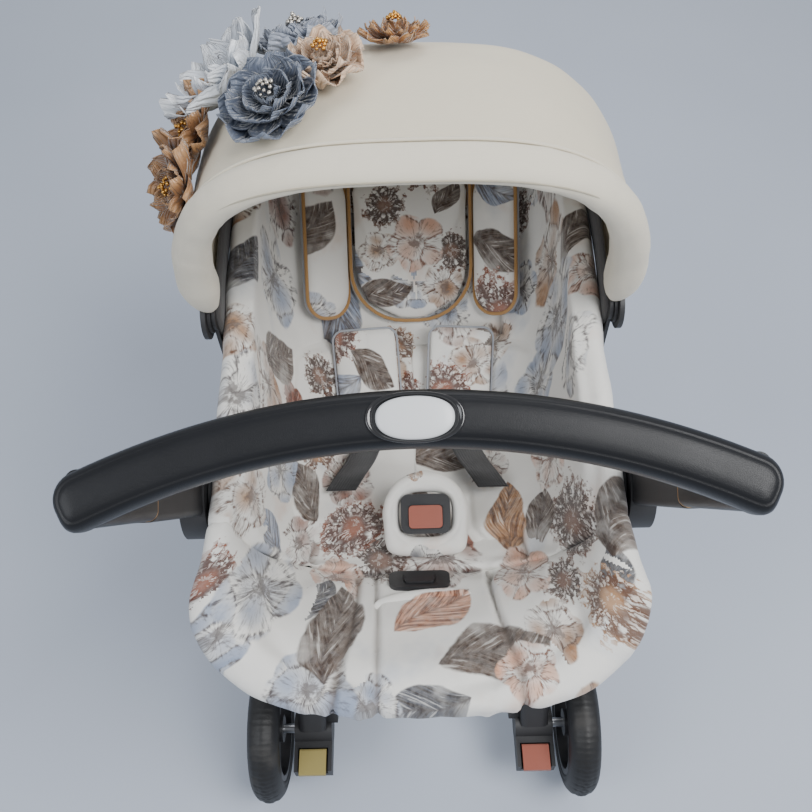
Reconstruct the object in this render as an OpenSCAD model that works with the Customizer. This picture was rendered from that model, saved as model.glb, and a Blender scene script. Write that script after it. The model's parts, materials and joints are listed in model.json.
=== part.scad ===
// Infant car seat with a wheeled base that folds out, a telescoping handle, a canopy and a harness.
// The floor is z = 0, the foot end of the seat is towards -Y and the head end towards +Y.
// Seat outlines are given from the handle pivot, which is the natural centre of the shell.

/* [Handle] */
// Height of the handle pivot above the floor
hub_z = 548; // [540:1:556]
// Distance of the handle pivot from the middle of the wheelbase, towards the foot end
hub_back = 125; // [120:1:130]
// Length of the handle arms from the pivot to the middle of the grip
arm_len = 329; // [310:1:345]
// Direction of the arms, counted from the head end up and over
arm_angle = 117.5; // [110:0.5:125]
// How far the grip bows out of the line between its ends
grip_bow = 43; // [30:1:50]
// Height of the grip's outer face
grip_face = 35; // [34:1:42]
// Depth of the grip along the arms
grip_depth = 30; // [24:1:34]
// Length of the lower arm sleeves
sleeve_len = 190; // [170:1:200]

/* [Shell] */
// Half width of the shell at its rim
shell_half = 183; // [180:1:185]
// Wall thickness of the shell
wall = 6; // [4:0.5:8]
// Half width of the foot cover where it is widest
cover_half = 205; // [200:1:207]
// Recline of the backrest above the horizontal
back_angle = 42; // [38:1:44]

/* [Canopy] */
// Half width of the canopy at its pivots
canopy_half = 202; // [200:1:206]
// Radius of the canopy from its pivots to its crown
canopy_r = 242; // [236:1:244]
// Angle of the front bow, counted from the head end up and over
brim_angle = 100.5; // [98:0.5:106]
// Angle of the rear edge of the canopy cloth
rear_edge_angle = 24; // [23:1:30]

/* [Wheels] */
// Radius of the wheels at the parent's side
rear_r = 90; // [85:1:92]
// Radius of the caster wheels at the head end
front_r = 80; // [72:1:82]
// Width of the rear tyres
rear_tyre_w = 40; // [36:1:42]
// Width of the caster tyres
front_tyre_w = 28; // [24:1:30]

/* [Hidden] */

black = [0.06, 0.06, 0.07];
cream = [0.85, 0.81, 0.72];
print_white = [0.90, 0.89, 0.86];
running = 0.06;  // radial clearance of every turning fit
fit = 0.5;  // gap round every sliding bar
$fn = 48;

// ---- places, from the handle pivot: [along Y, up Z] ----
rear_pivot = [100, -190];
front_pivot = [130, -190];
rear_wheel = [-109, rear_r - hub_z];
front_trail = 30;
front_wheel = [380, front_r - hub_z];
swivel = [front_wheel[0] - front_trail, 194 - hub_z];
canopy_pivot = [153, 82];
bight = [100, -130];
base_bottom = -220;

rear_angle = atan2(rear_wheel[1] - rear_pivot[1], rear_wheel[0] - rear_pivot[0]);
rear_len = norm(rear_wheel - rear_pivot);
front_angle = atan2(swivel[1] - front_pivot[1], swivel[0] - front_pivot[0]);
front_len = norm(swivel - front_pivot);

rear_lane = [104, 140];  // half widths between which each rear leg lies
front_lane = [68, 98];
caster_x = 170;
wheel_x = 198;
pin_r = 14;  // handle pivot pins
arm_x = [194, 219];

// Everything on the seat is placed from the handle pivot.
module at_hub(p = [0, 0]) translate([0, p[0] - hub_back, p[1] + hub_z]) children();

// Local x, y and z become the object's Y, Z and X, so a circle here turns about the X axis.
module side_plane() rotate([90, 0, 90]) children();

module at_side(p, turn = 0) at_hub(p) side_plane() rotate([0, 0, turn]) children();

// A drawing plane on the backrest: y runs up the backrest and z stands out of it.
module on_back(d, out = 0) at_hub(bight) rotate([back_angle, 0, 0]) translate([0, d, out]) children();

module both_sides() { children(); mirror([1, 0, 0]) children(); }

module rod_x(x0, x1, r) translate([0, 0, x0]) cylinder(h = x1 - x0, r = r);

// ---- rounded flat shapes ----
module round_rect(w, h, r) {
    square([w - 2 * r, h], center = true);
    square([w, h - 2 * r], center = true);
    for (x = [-1, 1], y = [-1, 1]) translate([x * (w / 2 - r), y * (h / 2 - r)]) circle(r);
}

module round_bar(x0, x1, w, h, r) translate([x0, 0, 0]) rotate([90, 0, 90])
    linear_extrude(x1 - x0) round_rect(w, h, r);

function oval(a, b, n, count = 40) = [for (i = [0:count - 1]) let (t = 360 * i / count)
    [a * sign(cos(t)) * pow(abs(cos(t)), 2 / n), b * sign(sin(t)) * pow(abs(sin(t)), 2 / n)]];

// ---- seat outlines, from the handle pivot ----
foot_tip = -190;
foot_mid = -80;
head_mid = 160;
head_tip = 422;

function rounded(d, a, n) = pow(max(0, 1 - pow(min(1, max(0, d) / a), n)), 1 / n);

// Half width of the shell's rim at each y.
function shell_w(y) = shell_half * rounded(foot_mid - y, foot_mid - foot_tip, 2.3)
    * rounded(y - head_mid, head_tip - head_mid, 2.6);

// Rim height, underside and the middle line of the cushions.
function rim_z(y) = lookup(y, [[-190, -50], [-172, -42], [-150, -26], [-110, 2], [-50, 18], [0, 30],
    [73, 46], [143, 62], [250, 100], [350, 135], [422, 158]]);
function under_z(y) = lookup(y, [[-190, -68], [-168, -82], [-118, -102], [-50, -128], [30, -152],
    [100, -162], [150, -144], [200, -104], [300, -16], [380, 56], [422, 100]]);
function seat_z(y) = lookup(y, [[-204, -42], [-190, -33], [-168, -29], [-118, -52], [-50, -94],
    [30, -130], [100, -142], [130, -127], [400, 116], [425, 139]]);

// Outer half width of the padding, which overhangs the rim most near the foot end.
function cover_w(y) = y < -110 ? cover_half * rounded(-110 - y, 95.5, 2.2)
    : lookup(y, [[-110, cover_half], [-76, 192], [-48, shell_half + 6], [-20, shell_half + 4]])
    * rounded(y - head_mid, head_tip - head_mid + 8, 2.6);

// A U-shaped line across the seat: u runs from -1 at the left rim to 1 at the right one.
u_power = 0.77;
function u_point(y, u, half, top, bottom, power = u_power) = [
    sign(u) * half * pow(sin(90 * abs(u)), power), y,
    top - (top - bottom) * pow(cos(90 * abs(u)), power)];

// A closed solid through rings of points. Each ring runs out along one line and back along another
// with as many points, so its two ends are closed by a strip between the lines.
module loft(rings) {
    n = len(rings[0]);
    m = len(rings);
    points = [for (ring = rings) for (p = ring) p];
    sides = [for (i = [0:m - 2], j = [0:n - 1]) let (k = (j + 1) % n)
        each [[i * n + j, (i + 1) * n + k, (i + 1) * n + j], [i * n + j, i * n + k, (i + 1) * n + k]]];
    first = [for (j = [0:n / 2 - 2]) each [[j, n - 2 - j, j + 1], [j, n - 1 - j, n - 2 - j]]];
    last = [for (f = first) [for (i = [2:-1:0]) f[i] + (m - 1) * n]];
    polyhedron(points, concat(sides, first, last), convexity = 8);
}

u_steps = 12;
u_list = [for (i = [-u_steps:u_steps]) i / u_steps];
function turned(list) = [for (i = [len(list) - 1:-1:0]) list[i]];

floor_wall = 8;
function shell_ring(y, hollow) = concat(
    [for (u = u_list) u_point(y, u, shell_w(y), rim_z(y), under_z(y))],
    turned([for (u = u_list) u_point(y, u, max(2, shell_w(y) - wall), rim_z(y),
        hollow ? min(rim_z(y) - 2, under_z(y) + floor_wall) : rim_z(y) - 0.5)]));

shell_stations = concat(
    [for (a = [82:-13:4]) foot_mid + (foot_tip - foot_mid) * sin(a)],
    [for (y = [foot_mid + 15:15:head_mid]) y],
    [for (a = [4:11:81]) head_mid + (head_tip - head_mid) * sin(a)]);
end_wall = 8;

module seat_shell() color(black) at_hub() loft(concat(
    [shell_ring(foot_tip + 1, false), shell_ring(foot_tip + end_wall, true)],
    [for (y = shell_stations) if (y > foot_tip + end_wall + 3 && y < head_tip - end_wall - 3)
        shell_ring(y, true)],
    [shell_ring(head_tip - end_wall, true), shell_ring(head_tip - 1, false)]));

// ---- padding that lines the shell and rolls over its rim ----
roll_steps = 6;
inset = 24;  // how far the cushion's inner wall stands inside the rim
lip = 6;
roll_h = 16;
tip_half = 16;  // least half width of any ring at the foot tip

// The cushions are a shallower dish at the foot end than further back.
function dish(y) = lookup(y, [[-186, 1.15], [-90, 1.05], [-48, 0.95], [-46, u_power]]);

function half_top(y) = let (xi = max(tip_half, shell_w(y) - inset), xo = cover_w(y), r = rim_z(y) + lip)
    concat([for (i = [0:u_steps]) u_point(y, i / u_steps, xi, r, seat_z(y), dish(y))],
        [for (k = [1:roll_steps]) let (t = 180 * k / roll_steps)
            [(xi + xo) / 2 - (xo - xi) / 2 * cos(t), y, r + roll_h * sin(t)]]);

soft_gap = 3;  // room between the cushions and what they lie in

// below = 0 inside the shell, 1 on the rim of its end wall, 2 beyond the end of the shell
function half_under(y, below) = let (w = max(tip_half, shell_w(y) - wall - soft_gap), xo = cover_w(y) - 1,
        r = rim_z(y) + 3, b = below == 0 ? under_z(y) + floor_wall + soft_gap : below == 1 ? r : r - 12)
    concat([for (i = [0:u_steps]) let (p = u_point(y, i / u_steps, w, r, b))
            below == 0 ? p : [p[0], y, b]],
        [for (k = [1:roll_steps]) [w + (xo - w) * k / roll_steps, y, below == 2 ? b : r]]);

function mirrored(half) = concat(
    [for (i = [len(half) - 1:-1:1]) [-half[i][0], half[i][1], half[i][2]]], half);

function pad_ring(y, below) = concat(mirrored(half_under(y, below)), turned(mirrored(half_top(y))));

module foot_cover() color(print_white) at_hub() loft(concat(
    [for (y = [-204, -201, -197, foot_tip - 2]) pad_ring(y, 2)],
    [for (y = [foot_tip - 1, foot_tip + end_wall + 1]) pad_ring(y, 1)],
    [for (y = [foot_tip + end_wall + 3, -170, -155, -140, -125, -110, -95, -76, -62, -48])
        pad_ring(y, 0)]));

module seat_liner() color(print_white) at_hub() loft(
    [for (y = [-46, -20, 10, 40, 70, 100, 130, 160, 190, 220, 250, 280, 310, 340, 365, 388, 406])
        pad_ring(y, 0)]);

insert_reach = 0.62;  // share of the liner's U that the insert covers
insert_t = 17;
insert_from = 16;  // clear of the crotch strap
function insert_ring(y) = let (us = [for (i = [-8:8]) insert_reach * i / 8],
        xi = shell_w(y) - inset, r = rim_z(y) + lip)
    concat([for (u = us) u_point(y, u, xi, r, seat_z(y)) + [0, 0, soft_gap]],
        turned([for (u = us) u_point(y, u, xi, r, seat_z(y))
            + [0, 0, soft_gap + 3 + insert_t * pow(cos(90 * u / insert_reach), 0.4)
                * min(1, 0.6 + (y - insert_from) / 100)]]));

module body_insert() color(print_white) at_hub() loft([for (y = [insert_from:16:208]) insert_ring(y)]);

// ---- headrest, harness pads and buckle ----
headrest_d = [158, 322];

module headrest_pad() color(print_white) on_back(0, -12) linear_extrude(18)
    translate([0, (headrest_d[0] + headrest_d[1]) / 2])
        round_rect(138, headrest_d[1] - headrest_d[0], 30);

module wing(side) on_back(0) hull() for (d = [headrest_d[0] + 16, headrest_d[1] - 20]) {
    translate([side * 84, d, 6]) sphere(12, $fn = 32);
    translate([side * 113, d, 34]) sphere(12, $fn = 32);
}
module headrest_wing_left() color(print_white) wing(-1);
module headrest_wing_right() color(print_white) wing(1);

pad_w = 66;
module shoulder_pad(side) on_back(0, 10) translate([side * 50, 96, 0]) linear_extrude(13)
    round_rect(pad_w, 116, 14);
module shoulder_pad_left() color(print_white) shoulder_pad(-1);
module shoulder_pad_right() color(print_white) shoulder_pad(1);

// A flat strap through points in its side view, each [x, y, z], with its width along X.
module strap(points, width, thick) loft([for (p = points) [
    p + [-width / 2, 0, 0], p + [width / 2, 0, 0],
    p + [width / 2, 0, thick], p + [-width / 2, 0, thick]]]);

webbing_w = 34;
webbing_t = 2;
shoulder_route = [[50, 146, -81], [50, 124, -99.4], [55, 100, -97], [64, 74, -88], [76, 48, -79]];
module shoulder_webbing() color(black) at_hub() both_sides() strap(shoulder_route, webbing_w, webbing_t);

crotch_at = [9, -72];
crotch_tilt = 27;
crotch_x = 8;
module on_crotch(out = 0) at_hub(crotch_at) translate([crotch_x, 0, 0]) rotate([crotch_tilt, 0, 0])
    translate([0, 0, out]) children();

crotch_w = 89;
module crotch_pad() color(print_white) on_crotch(-6) linear_extrude(12) difference() {
    union() {
        circle(crotch_w / 2);
        translate([0, -22]) round_rect(crotch_w - 2, 44, 10);
    }
    square([52, 42], center = true);
}

module crotch_webbing() color(black) at_hub([9, -100])
    translate([crotch_x - webbing_w / 2, 0, 0]) cube([webbing_w, webbing_t, 21.5]);

button_w = 34;
button_h = 23;
module buckle_body() color(black) on_crotch(-5) difference() {
    linear_extrude(17) round_rect(50, 40, 8);
    translate([0, -3, 9]) linear_extrude(9) round_rect(button_w + 1, button_h + 1, 4);
}
module buckle_button() color([0.45, 0.13, 0.08]) on_crotch(7.5) translate([0, -3, 0])
    linear_extrude(5.5) round_rect(button_w, button_h, 4);

adjuster_at = [-66, -84];
module on_adjuster(out) at_hub(adjuster_at) rotate([-31, 0, 0]) translate([0, 0, out]) children();
module adjuster_plate() color(black) on_adjuster(4) difference() {
    linear_extrude(7) round_rect(60, 26, 8);
    translate([0, 0, 3]) linear_extrude(5) round_rect(31, 15, 4);
}
module adjuster_button() color([0.25, 0.25, 0.27]) on_adjuster(9) linear_extrude(4) round_rect(30, 14, 4);

// ---- base, bosses and guides ----
keel_w = 124;
module base_keel() color(black) difference() {
    at_side([0, 0]) translate([0, 0, -keel_w / 2]) linear_extrude(keel_w) polygon([
        [-30, -131], [-30, -200], [-10, base_bottom], [170, base_bottom], [190, -200],
        [178, -114], [150, -138], [100, -156], [30, -146]]);
    for (p = [rear_pivot, front_pivot]) at_side(p) rod_x(-keel_w, keel_w, 11 + running);
    at_hub([80, base_bottom]) for (x = [-1, 1], y = [-1, 1])
        translate([x * 40, y * 70, -1]) cylinder(h = 13, r = 4);
}

boss_x = [179, 193];
boss_r = 29;
module hub_bosses() color(black) both_sides() at_side([0, 0]) {
    rod_x(boss_x[0], boss_x[1], boss_r);
    rod_x(boss_x[1], 208, pin_r);
}

module belt_guides() color([0.12, 0.20, 0.32]) both_sides() at_side([92, -62]) {
    translate([-28, -12, 162]) cube([56, 8, 25]);
    translate([-28, -12, 181.5]) cube([56, 24, 5.5]);
}

post_r = 7;
module canopy_brackets() color(black) both_sides() {
    at_side(canopy_pivot) rod_x(188.5, 192, 15);
    at_side(canopy_pivot) rod_x(192, 203, post_r);
    at_side(canopy_pivot) translate([-12, -56, 188.5]) cube([24, 52, 3.5]);
    at_side(canopy_pivot) translate([-12, -56, 180]) cube([24, 26, 9]);
}

module on_shell_back(out) at_hub([330, 11]) rotate([41.5, 0, 0]) translate([0, 0, out]) children();
lever_pin = [14, 4.5, 2.5];  // height up the back, depth in the housing, radius
module lever_rod(half, r) translate([0, lever_pin[0], lever_pin[1]]) rotate([0, 90, 0])
    cylinder(h = 2 * half, r = r, center = true);
module release_housing() color(black) on_shell_back(-26) difference() {
    linear_extrude(29) round_rect(96, 66, 12);
    translate([0, 0, -1]) linear_extrude(13) round_rect(72, 38, 9);
    lever_rod(43, lever_pin[2] + running);
}
module release_lever() color([0.45, 0.13, 0.08]) on_shell_back(-26) {
    translate([0, -1, 2]) linear_extrude(5) round_rect(68, 32, 8);
    lever_rod(42, lever_pin[2]);
}

// ---- canopy ----
canopy_power = 2 / 3;
// The bow's outline as [distance from the pivot axis, place along the axis].
function bow_line(half, r, from = 2, steps = 36) = [for (i = [0:steps])
    let (t = from + (180 - 2 * from) * i / steps)
    [r * pow(sin(t), canopy_power), half * sign(cos(t)) * pow(abs(cos(t)), canopy_power)]];

// A slice of the canopy between two angles, between two depths under its outer face.
module canopy_slice(a0, a1, top, bottom, from = 2) at_side(canopy_pivot, a0)
    rotate_extrude(angle = a1 - a0) polygon(concat(
        bow_line(canopy_half - top, canopy_r - top, from),
        turned(bow_line(canopy_half - bottom, canopy_r - bottom, from))));

cloth_t = 3;
mid_bow_angle = 61;
module canopy_cloth() color(cream) canopy_slice(rear_edge_angle, brim_angle - 0.4, 0, cloth_t);
module canopy_mid_bow() color(black) {
    canopy_slice(mid_bow_angle, mid_bow_angle + 1.6, cloth_t + 1, cloth_t + 8, 4);
    both_sides() at_side(canopy_pivot) difference() {
        union() {
            rod_x(192.5, 195.5, 18);
            rotate([0, 0, mid_bow_angle]) translate([0, -2, 192.5]) cube([44, 4, 3]);
        }
        rod_x(190, 202, post_r + running);
    }
}
module canopy_front_bow() color(black) {
    canopy_slice(brim_angle - 2.4, brim_angle - 0.6, cloth_t + 1, cloth_t + 6, 1.5);
    both_sides() at_side(canopy_pivot) difference() {
        rod_x(196, 200.5, 24);
        rod_x(190, 202, post_r + running);
    }
}
module canopy_brim() color(cream) canopy_slice(brim_angle, brim_angle + 6, -7, 15, 3);

// Fabric flowers as low domes on the canopy: [distance along X, angle, radius of the flower].
front_flowers = [[-186, 82, 30], [-176, 72, 28], [-111, 84, 34], [-78, 77, 22]];
rear_flowers = [[-138, 60, 32], [-88, 58, 24], [-12, 67, 26]];
flower_lift = 8;
flower_h = 18;
bow_n = 2 / canopy_power;
function bow_share(x) = pow(abs(x) / canopy_half, bow_n);
function bow_r(x) = canopy_r * pow(1 - bow_share(x), 1 / bow_n);
function bow_tilt(x) = sign(x) * atan(canopy_r / canopy_half * pow(abs(x) / canopy_half, bow_n - 1)
    * pow(1 - bow_share(x), 1 / bow_n - 1));
module flower(f) at_side(canopy_pivot, f[1]) translate([bow_r(f[0]), 0, f[0]])
    rotate([0, 90 - bow_tilt(f[0]), 0]) translate([0, 0, flower_lift])
        cylinder(h = flower_h, r1 = f[2], r2 = f[2] * 0.6);
module canopy_flowers_front() color([0.62, 0.45, 0.32]) for (f = front_flowers) flower(f);
module canopy_flowers_rear() color([0.62, 0.45, 0.32]) for (f = rear_flowers) flower(f);

// ---- handle ----
arm_mid = (arm_x[0] + arm_x[1]) / 2;
arm_t = arm_x[1] - arm_x[0];
slot_w = 26;
slot_t = 13;

module handle_sleeve() at_side([0, 0], arm_angle) difference() {
    union() {
        rod_x(arm_x[0], arm_x[1] - 1, 42);
        translate([0, 0, arm_mid]) round_bar(20, sleeve_len, 39, arm_t - 3, 6);
    }
    rod_x(arm_x[0] - 1, arm_x[1] - 9, pin_r + running);
    rod_x(arm_x[1] - 8, arm_x[1] + 1, 17);
    translate([0, 0, arm_mid]) round_bar(46, sleeve_len + 1, slot_w, slot_t, 3);
}
module handle_sleeve_right() color(black) handle_sleeve();
module handle_sleeve_left() color(black) mirror([1, 0, 0]) handle_sleeve();

module hub_button() at_side([0, 0]) rod_x(arm_x[1] - 3.5, arm_x[1] + 1.5, 16.5);
module hub_button_right() color([0.3, 0.3, 0.32]) hub_button();
module hub_button_left() color([0.3, 0.3, 0.32]) mirror([1, 0, 0]) hub_button();

grip_end_r = grip_face / 2 + 1.5;
grip_half = arm_x[1] - grip_end_r;
grip_r = (grip_half * grip_half + grip_bow * grip_bow) / (2 * grip_bow);
grip_sweep = asin(grip_half / grip_r);
ring_t = 3;

button_a = 23.5;
button_b = 12.6;
module on_grip_face(out) at_side([0, 0], arm_angle)
    translate([arm_len + grip_depth / 2 + out, -grip_bow, 0]) rotate([0, 90, 0]) children();

// The grip is a stretch of a ring whose ends turn down onto the arms.
module handle_grip() color(black) difference() {
    union() {
        at_side([0, 0], arm_angle) translate([arm_len, grip_r - grip_bow, 0]) rotate([0, 90, 0])
            rotate([0, 0, -90 - grip_sweep]) rotate_extrude(angle = 2 * grip_sweep)
                translate([grip_r, 0]) square([grip_face, grip_depth], center = true);
        for (s = [-1, 1]) at_side([0, 0], arm_angle)
            translate([arm_len - grip_depth / 2 - 0.3, 0, s * grip_half]) rotate([0, 90, 0])
                cylinder(h = grip_depth + 0.6, r = grip_end_r);
    }
    on_grip_face(-8) linear_extrude(20) polygon(oval(30, 15.8, 2.4));
}
module handle_arms() color(black) both_sides() at_side([0, 0], arm_angle) translate([0, 0, arm_mid]) {
    difference() {
        round_bar(sleeve_len + ring_t, arm_len - grip_depth / 2 - 0.3, grip_face + 2, arm_t, 8);
        round_bar(sleeve_len, arm_len - grip_depth / 2 - 5, slot_w, slot_t, 3);
    }
}
// The middle stage slides in the sleeves, and the arms slide on it.
module handle_mid_bars() color([0.2, 0.2, 0.21]) both_sides() at_side([0, 0], arm_angle)
    translate([0, 0, arm_mid])
        round_bar(50, arm_len - grip_depth / 2 - 8, slot_w - 2 * fit, slot_t - 2 * fit, 3);
module handle_trim_rings() color([0.72, 0.52, 0.22]) both_sides() at_side([0, 0], arm_angle)
    translate([0, 0, arm_mid]) difference() {
        round_bar(sleeve_len + 0.6, sleeve_len + ring_t, grip_face + 2.4, arm_t - 0.6, 8);
        round_bar(sleeve_len, sleeve_len + ring_t + 1, slot_w + fit, slot_t + fit, 3);
    }
module handle_bezel() color(black) on_grip_face(-7.9) linear_extrude(7.4) difference() {
    polygon(oval(29.7, 15.5, 2.4));
    polygon(oval(button_a + 0.4, button_b + 0.4, 2.2));
}
module handle_button() color([0.82, 0.82, 0.82]) on_grip_face(-4.4) linear_extrude(5.4)
    polygon(oval(button_a, button_b, 2.2));

// ---- rear legs, at the parent's side ----
leg_h = 34;
rear_sleeve_len = 190;
rear_bar = [24, 22];
module at_rear_leg() at_side(rear_pivot, rear_angle) children();
rear_lane_mid = (rear_lane[0] + rear_lane[1]) / 2;
rear_lane_w = rear_lane[1] - rear_lane[0];

module rear_leg_frame() color(black) at_rear_leg() {
    rod_x(-rear_lane[0] - 1, rear_lane[0] + 1, 11);
    translate([178, 0, 0]) rod_x(-rear_lane[0] - 1, rear_lane[0] + 1, 10);
    for (s = [-1, 1]) translate([0, 0, s * rear_lane_mid]) difference() {
        round_bar(-18, rear_sleeve_len, rear_lane_w, leg_h, 7);
        translate([10, -rear_bar[1] / 2 - fit, -rear_bar[0] / 2 - fit])
            cube([rear_sleeve_len, rear_bar[1] + 2 * fit, rear_bar[0] + 2 * fit]);
    }
}

foot_x = [118, 166];
rear_axle_r = 6;
pedal_y = rear_wheel[0] - 42;
module rear_lower_legs() color(black) both_sides() difference() {
    union() {
        at_rear_leg() translate([104, -rear_bar[1] / 2, rear_lane_mid - rear_bar[0] / 2])
            cube([rear_len - 104 - 16, rear_bar[1], rear_bar[0]]);
        at_rear_leg() translate([0, 0, (foot_x[0] + foot_x[1]) / 2])
            round_bar(rear_len - 58, rear_len - 12, foot_x[1] - foot_x[0], 36, 9);
        at_side(rear_wheel) rod_x(foot_x[0], foot_x[1], 21);
        at_side([pedal_y, rear_wheel[1] - 2]) translate([-14, -15, foot_x[0]])
            cube([46, 26, foot_x[1] - foot_x[0]]);
    }
    at_side(rear_wheel) rod_x(foot_x[0] + 8, foot_x[1] + 1, rear_axle_r);
    at_side([pedal_y - 14, rear_wheel[1] + 11]) translate([-1, -16, foot_x[0] + 5])
        cube([30, 17, foot_x[1] - foot_x[0] - 10]);
}

module rear_axle() at_side(rear_wheel) rod_x(foot_x[0] + 8, wheel_x + 12, rear_axle_r);
module rear_axle_right() color("silver") rear_axle();
module rear_axle_left() color("silver") mirror([1, 0, 0]) rear_axle();

pedal_pivot = [pedal_y + 11, rear_wheel[1] + 2];
module pedal() at_side(pedal_pivot) {
    translate([-30, 4, foot_x[0] + 7]) cube([30, 7, foot_x[1] - foot_x[0] - 14]);
    rod_x(foot_x[0] + 7, foot_x[1] - 7, 3.5);
    translate([-3, 0, foot_x[0] + 7]) cube([5, 8, foot_x[1] - foot_x[0] - 14]);
}
module brake_pedal() color([0.6, 0.16, 0.1]) pedal();
module release_pedal() color([0.45, 0.5, 0.2]) mirror([1, 0, 0]) pedal();

// ---- wheels ----
module tyre(r, w, rim_r) rotate_extrude() intersection() {
    translate([rim_r + fit / 2, -w / 2]) square([r, w]);
    union() {
        translate([r - w / 2, 0]) circle(w / 2);
        translate([rim_r, -w * 0.46]) square([r - w / 2 - rim_r, w * 0.92]);
    }
}

spokes = 5;
module rim(rim_r, w, bore_r, blind) difference() {
    union() {
        difference() {
            cylinder(h = w, r = rim_r, center = true);
            cylinder(h = w + 2, r = rim_r - 7, center = true);
        }
        cylinder(h = w - 4, r = 17, center = true);
        for (i = [0:spokes - 1]) rotate([0, 0, i * 360 / spokes])
            translate([12, -8, -w / 4]) cube([rim_r - 16, 16, w / 2]);
    }
    translate([0, 0, -w / 2 - 1]) cylinder(h = blind ? w / 2 + 14 : w + 2, r = bore_r);
}

module rear_wheel_at() at_side(rear_wheel) translate([0, 0, wheel_x]) children();
module rear_tyre_right() color([0.04, 0.04, 0.04]) rear_wheel_at() tyre(rear_r, rear_tyre_w, 64);
module rear_tyre_left() color([0.04, 0.04, 0.04]) mirror([1, 0, 0]) rear_wheel_at()
    tyre(rear_r, rear_tyre_w, 64);
module rear_rim_right() color([0.1, 0.1, 0.11]) rear_wheel_at() rim(64, 36, rear_axle_r + running, true);
module rear_rim_left() color([0.1, 0.1, 0.11]) mirror([1, 0, 0]) rear_wheel_at()
    rim(64, 36, rear_axle_r + running, true);

// ---- front legs and casters, at the head end ----
front_bar = [20, 22];
front_sleeve_len = 168;
front_lane_mid = (front_lane[0] + front_lane[1]) / 2;
front_lane_w = front_lane[1] - front_lane[0];
module at_front_leg() at_side(front_pivot, front_angle) children();

module front_leg_frame() color(black) at_front_leg() {
    rod_x(-front_lane[0] - 1, front_lane[0] + 1, 11);
    for (s = [-1, 1]) translate([0, 0, s * front_lane_mid]) difference() {
        union() {
            round_bar(-8, front_sleeve_len, front_lane[1] - front_lane[0], 32, 6);
            rod_x(-front_lane_w / 2, front_lane_w / 2, 15);
        }
        translate([10, -front_bar[1] / 2 - fit, -front_bar[0] / 2 - fit])
            cube([front_sleeve_len, front_bar[1] + 2 * fit, front_bar[0] + 2 * fit]);
    }
}

stem_r = 8;
housing_h = 40;
module front_lower_legs() color(black) both_sides() difference() {
    union() {
        at_front_leg() translate([104, -front_bar[1] / 2, front_lane_mid - front_bar[0] / 2])
            cube([front_len - 104, front_bar[1], front_bar[0]]);
        at_side(swivel) rod_x(-1, caster_x, 11);
        at_hub(swivel) translate([caster_x, 0, -housing_h / 2]) cylinder(h = housing_h, r = 18);
    }
    at_hub(swivel) translate([caster_x, 0, -housing_h / 2 - 1])
        cylinder(h = housing_h + 2, r = stem_r + running);
}

fork_gap = front_tyre_w / 2 + 4;
fork_t = 6;
front_axle_r = 5;
crown_top = -housing_h / 2 - 2;
module fork() {
    at_hub(swivel) translate([caster_x, 0, 0]) {
        translate([0, 0, crown_top - 1]) cylinder(h = housing_h + 8, r = stem_r);
        translate([0, 0, crown_top - 12]) cylinder(h = 12, r = 20);
        translate([-fork_gap - fork_t, -15, crown_top - 11]) cube([2 * (fork_gap + fork_t), 30, 10]);
    }
    for (s = [-1, 1]) at_side(front_wheel)
        translate([0, 0, caster_x + s * (fork_gap + fork_t / 2) - fork_t / 2]) linear_extrude(fork_t) {
            circle(13);
            polygon([[-13, 0], [-front_trail - 15, 84], [-front_trail + 15, 84], [13, 0]]);
        }
    at_side(front_wheel) rod_x(caster_x - fork_gap - 1, caster_x + fork_gap + 1, front_axle_r);
}
module fork_right() color([0.12, 0.12, 0.13]) fork();
module fork_left() color([0.12, 0.12, 0.13]) mirror([1, 0, 0]) fork();

module front_wheel_at() at_side(front_wheel) translate([0, 0, caster_x]) children();
module front_tyre_right() color([0.04, 0.04, 0.04]) front_wheel_at() tyre(front_r, front_tyre_w, 56);
module front_tyre_left() color([0.04, 0.04, 0.04]) mirror([1, 0, 0]) front_wheel_at()
    tyre(front_r, front_tyre_w, 56);
module front_rim_right() color([0.1, 0.1, 0.11]) front_wheel_at()
    rim(56, 26, front_axle_r + running, false);
module front_rim_left() color([0.1, 0.1, 0.11]) mirror([1, 0, 0]) front_wheel_at()
    rim(56, 26, front_axle_r + running, false);

seat_shell();
base_keel();
hub_bosses();
belt_guides();
canopy_brackets();
release_housing();
release_lever();
foot_cover();
seat_liner();
body_insert();
headrest_pad();
headrest_wing_left();
headrest_wing_right();
shoulder_pad_left();
shoulder_pad_right();
shoulder_webbing();
crotch_webbing();
crotch_pad();
buckle_body();
buckle_button();
adjuster_plate();
adjuster_button();
canopy_cloth();
canopy_mid_bow();
canopy_front_bow();
canopy_brim();
canopy_flowers_front();
canopy_flowers_rear();
handle_sleeve_left();
handle_sleeve_right();
hub_button_left();
hub_button_right();
handle_grip();
handle_arms();
handle_mid_bars();
handle_trim_rings();
handle_bezel();
handle_button();
rear_leg_frame();
rear_lower_legs();
rear_axle_left();
rear_axle_right();
rear_rim_left();
rear_rim_right();
rear_tyre_left();
rear_tyre_right();
brake_pedal();
release_pedal();
front_leg_frame();
front_lower_legs();
fork_left();
fork_right();
front_rim_left();
front_rim_right();
front_tyre_left();
front_tyre_right();
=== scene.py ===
import json
import math
import random

import bmesh
import bpy
import numpy as np
from mathutils import Matrix, Vector, noise


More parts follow.
